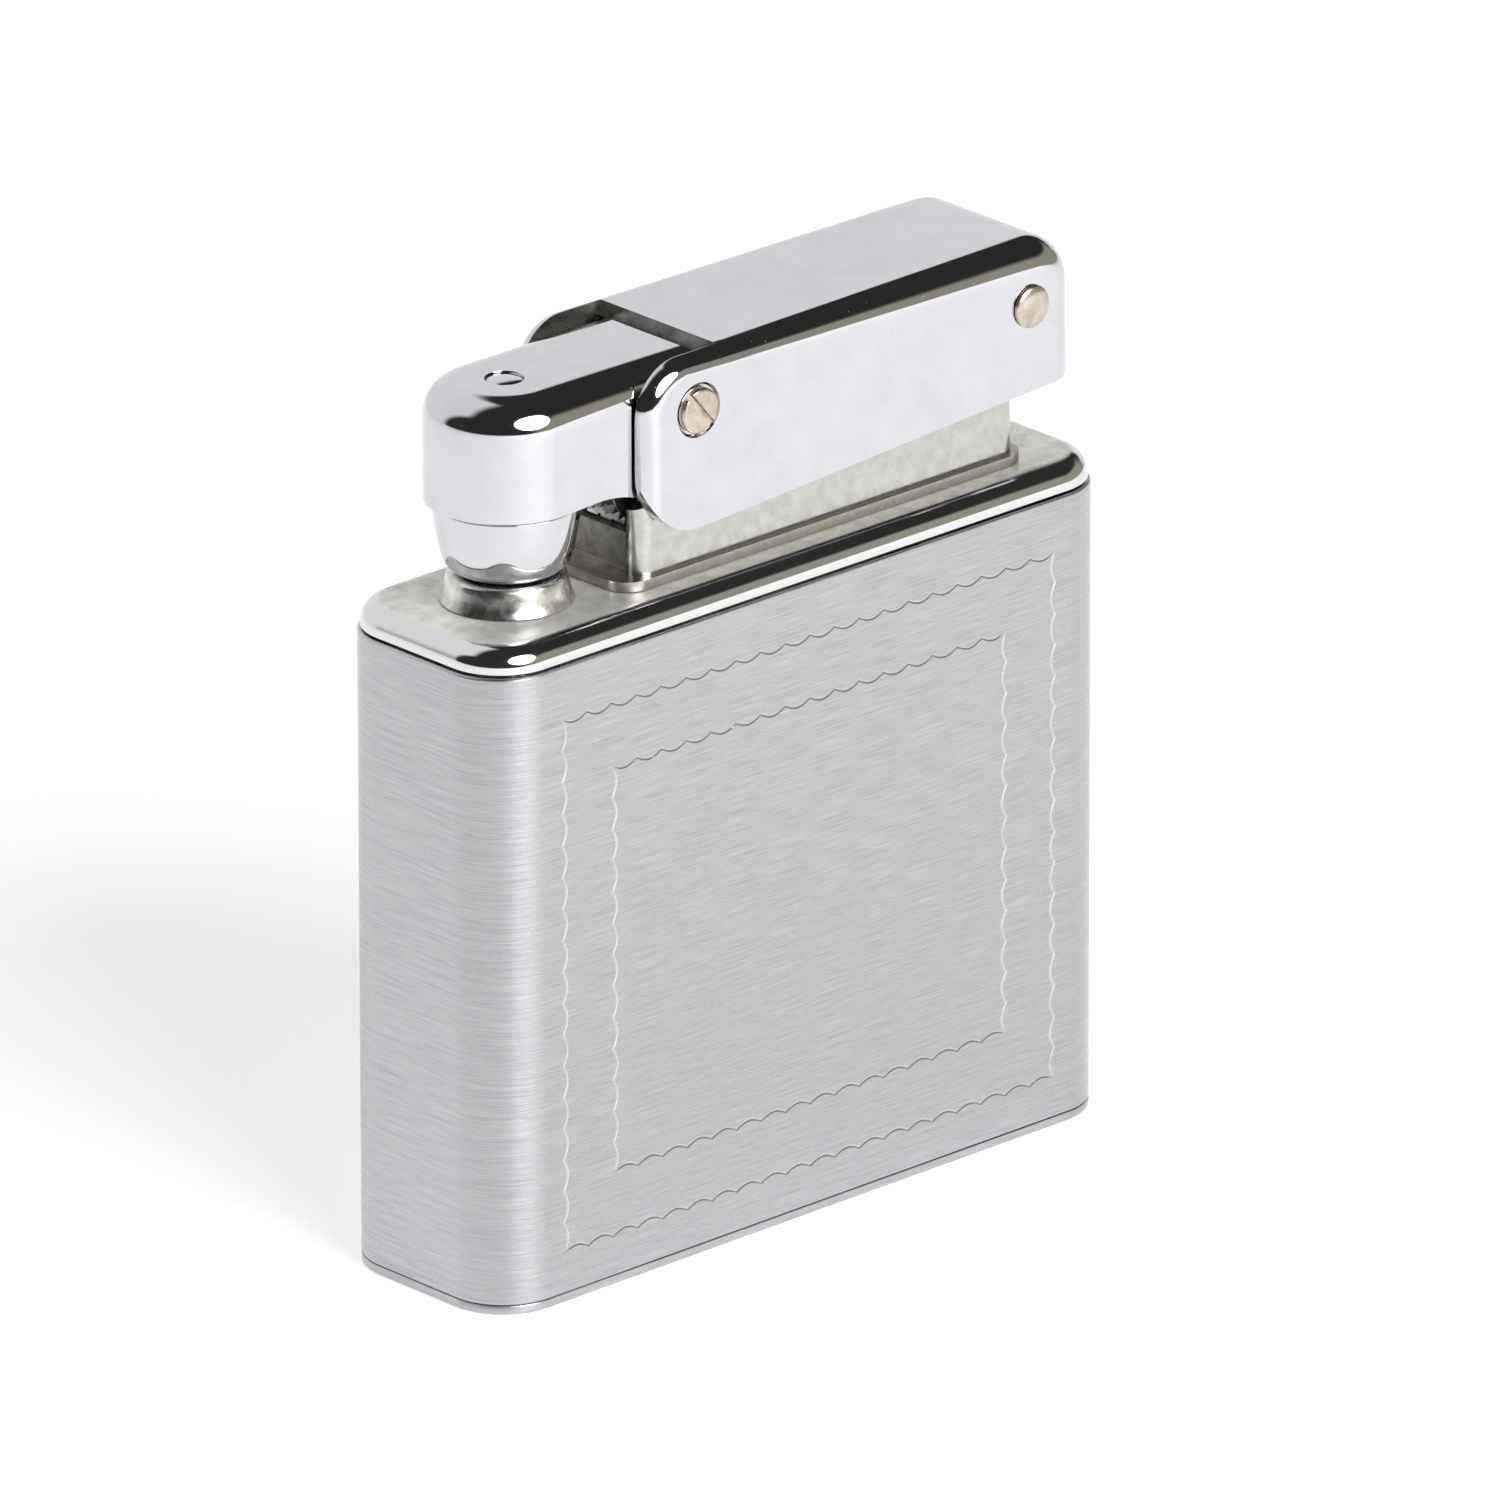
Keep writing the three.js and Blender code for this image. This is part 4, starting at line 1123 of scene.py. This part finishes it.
studio = {
    "floorSize": 6.0, "floorGlow": 0.52, "room": 0.035, "backdrop": 0.95, "backdropReach": 1.05, "backdropLean": 0.9,
    "roomGlow": (0.36, 0.345, 0.27), "roomGlowAngle": (50.0, 12.0), "roomGlowSpread": 60.0, "roomGlowTop": 28.0,
    "softboxPower": 14.0, "softboxDistance": 1.1, "softboxSize": (1.0, 0.8), "softboxAngle": (0.0, 30.0),
}


def buildFloor():
    half = studio["floorSize"] / 2
    mesh = bpy.data.meshes.new("floor")
    mesh.from_pydata([(-half, -half, 0), (half, -half, 0), (half, half, 0), (-half, half, 0)], [], [(0, 1, 2, 3)])
    floor = addToScene("floor", mesh)
    material, _, shader, _ = startMaterial("white table", 0.0,
        {"Roughness": 0.6, "Emission Strength": studio["floorGlow"]})
    shader.inputs["Base Color"].default_value = (0.9, 0.9, 0.9, 1)
    shader.inputs["Emission Color"].default_value = (1, 1, 1, 1)
    mesh.materials.append(material)


def buildWorld():
    world = bpy.data.worlds.new("studio")
    bpy.context.scene.world = world
    world.use_nodes = True
    tree = world.node_tree
    light = tree.nodes["Background"]
    place = tree.nodes.new("ShaderNodeTexCoord")
    parts = tree.nodes.new("ShaderNodeSeparateXYZ")
    wire(tree, place.outputs["Generated"], parts.inputs["Vector"])
    # the white backdrop reaches higher on the left than on the right
    reach = studio["backdropReach"]
    height = mathNode(tree, "ADD", parts.outputs["Z"], mathNode(tree, "MULTIPLY", parts.outputs["X"],
        studio["backdropLean"]))
    below = smoothStep(tree, height, reach - 0.05, reach + 0.05, 1.0, 0.0)
    leftEnd = smoothStep(tree, parts.outputs["X"], -0.8, -0.66)
    behind = smoothStep(tree, parts.outputs["Y"], 0.05, 0.3)
    backdrop = mathNode(tree, "MULTIPLY", below, behind)
    backdrop = mathNode(tree, "MULTIPLY", backdrop, leftEnd)
    level = rangeOf(tree, backdrop, studio["room"], studio["backdrop"])
    white = addNode(tree, "ShaderNodeCombineColor")
    for channel in ("Red", "Green", "Blue"):
        wire(tree, level, white.inputs[channel])
    # the room's dim warm side, low on the right
    warm = addNode(tree, "ShaderNodeVectorMath", {"operation": "DOT_PRODUCT"}, {0: place.outputs["Generated"]})
    a, e = (math.radians(x) for x in studio["roomGlowAngle"])
    warm.inputs[1].default_value = (math.sin(a) * math.cos(e), -math.cos(a) * math.cos(e), math.sin(e))
    spread = smoothStep(tree, warm.outputs["Value"], math.cos(math.radians(studio["roomGlowSpread"])),
        math.cos(math.radians(studio["roomGlowSpread"] * 0.5)))
    low = smoothStep(tree, parts.outputs["Z"], math.sin(math.radians(studio["roomGlowTop"] - 7)),
        math.sin(math.radians(studio["roomGlowTop"] + 3)), 1.0, 0.0)
    glow = addNode(tree, "ShaderNodeMix", {"data_type": "RGBA", "blend_type": "ADD"},
        {"Factor": mathNode(tree, "MULTIPLY", spread, low), 6: white.outputs["Color"]})
    glow.inputs[7].default_value = (*studio["roomGlow"], 1)
    seen = addNode(tree, "ShaderNodeMix", {"data_type": "RGBA"},
        {"Factor": tree.nodes.new("ShaderNodeLightPath").outputs["Is Camera Ray"], 6: glow.outputs[2]})
    seen.inputs[7].default_value = (1, 1, 1, 1)
    wire(tree, seen.outputs[2], light.inputs["Color"])


def addSoftbox(name, azimuth, elevation, distance, size, power):
    # azimuth in degrees from straight in front, positive to the right
    a, e = math.radians(azimuth), math.radians(elevation)
    direction = Vector((math.sin(a) * math.cos(e), -math.cos(a) * math.cos(e), math.sin(e)))
    light = bpy.data.lights.new(name, "AREA")
    light.shape = "ELLIPSE"
    light.size, light.size_y = size
    light.energy = power
    item = addToScene(name, light)
    item.location = direction * distance + Vector((0, 0, 0.03))
    item.rotation_euler = direction.to_track_quat("Z", "Y").to_euler()
    item.visible_camera = False
    return item


def buildCamera():
    view = {"azimuth": 42.9637, "elevation": 21.6781, "roll": 0.103, "distance": 1.463868, "lens": 656.88,
            "aim": (-0.000324, -0.0021732, 0.0256519)}
    a, e, roll = (math.radians(view[k]) for k in ("azimuth", "elevation", "roll"))
    ahead = Vector((math.sin(a) * math.cos(e), math.cos(a) * math.cos(e), -math.sin(e)))
    right = Vector((math.cos(a), -math.sin(a), 0))
    up = right.cross(ahead)
    tiltedRight = right * math.cos(roll) - up * math.sin(roll)
    tiltedUp = right * math.sin(roll) + up * math.cos(roll)
    camera = bpy.data.cameras.new("camera")
    camera.lens = view["lens"]
    camera.sensor_width = 36
    camera.clip_end = 50
    item = addToScene("camera", camera)
    turn = Matrix((tiltedRight, tiltedUp, -ahead)).transposed()
    item.matrix_world = Matrix.Translation(Vector(view["aim"]) - ahead * view["distance"]) @ turn.to_4x4()
    bpy.context.scene.camera = item


buildFloor()
buildWorld()
addSoftbox("front softbox", *studio["softboxAngle"], studio["softboxDistance"], studio["softboxSize"],
    studio["softboxPower"])
buildCamera()
bpy.context.scene.view_settings.view_transform = "Standard"
report("studio ready")
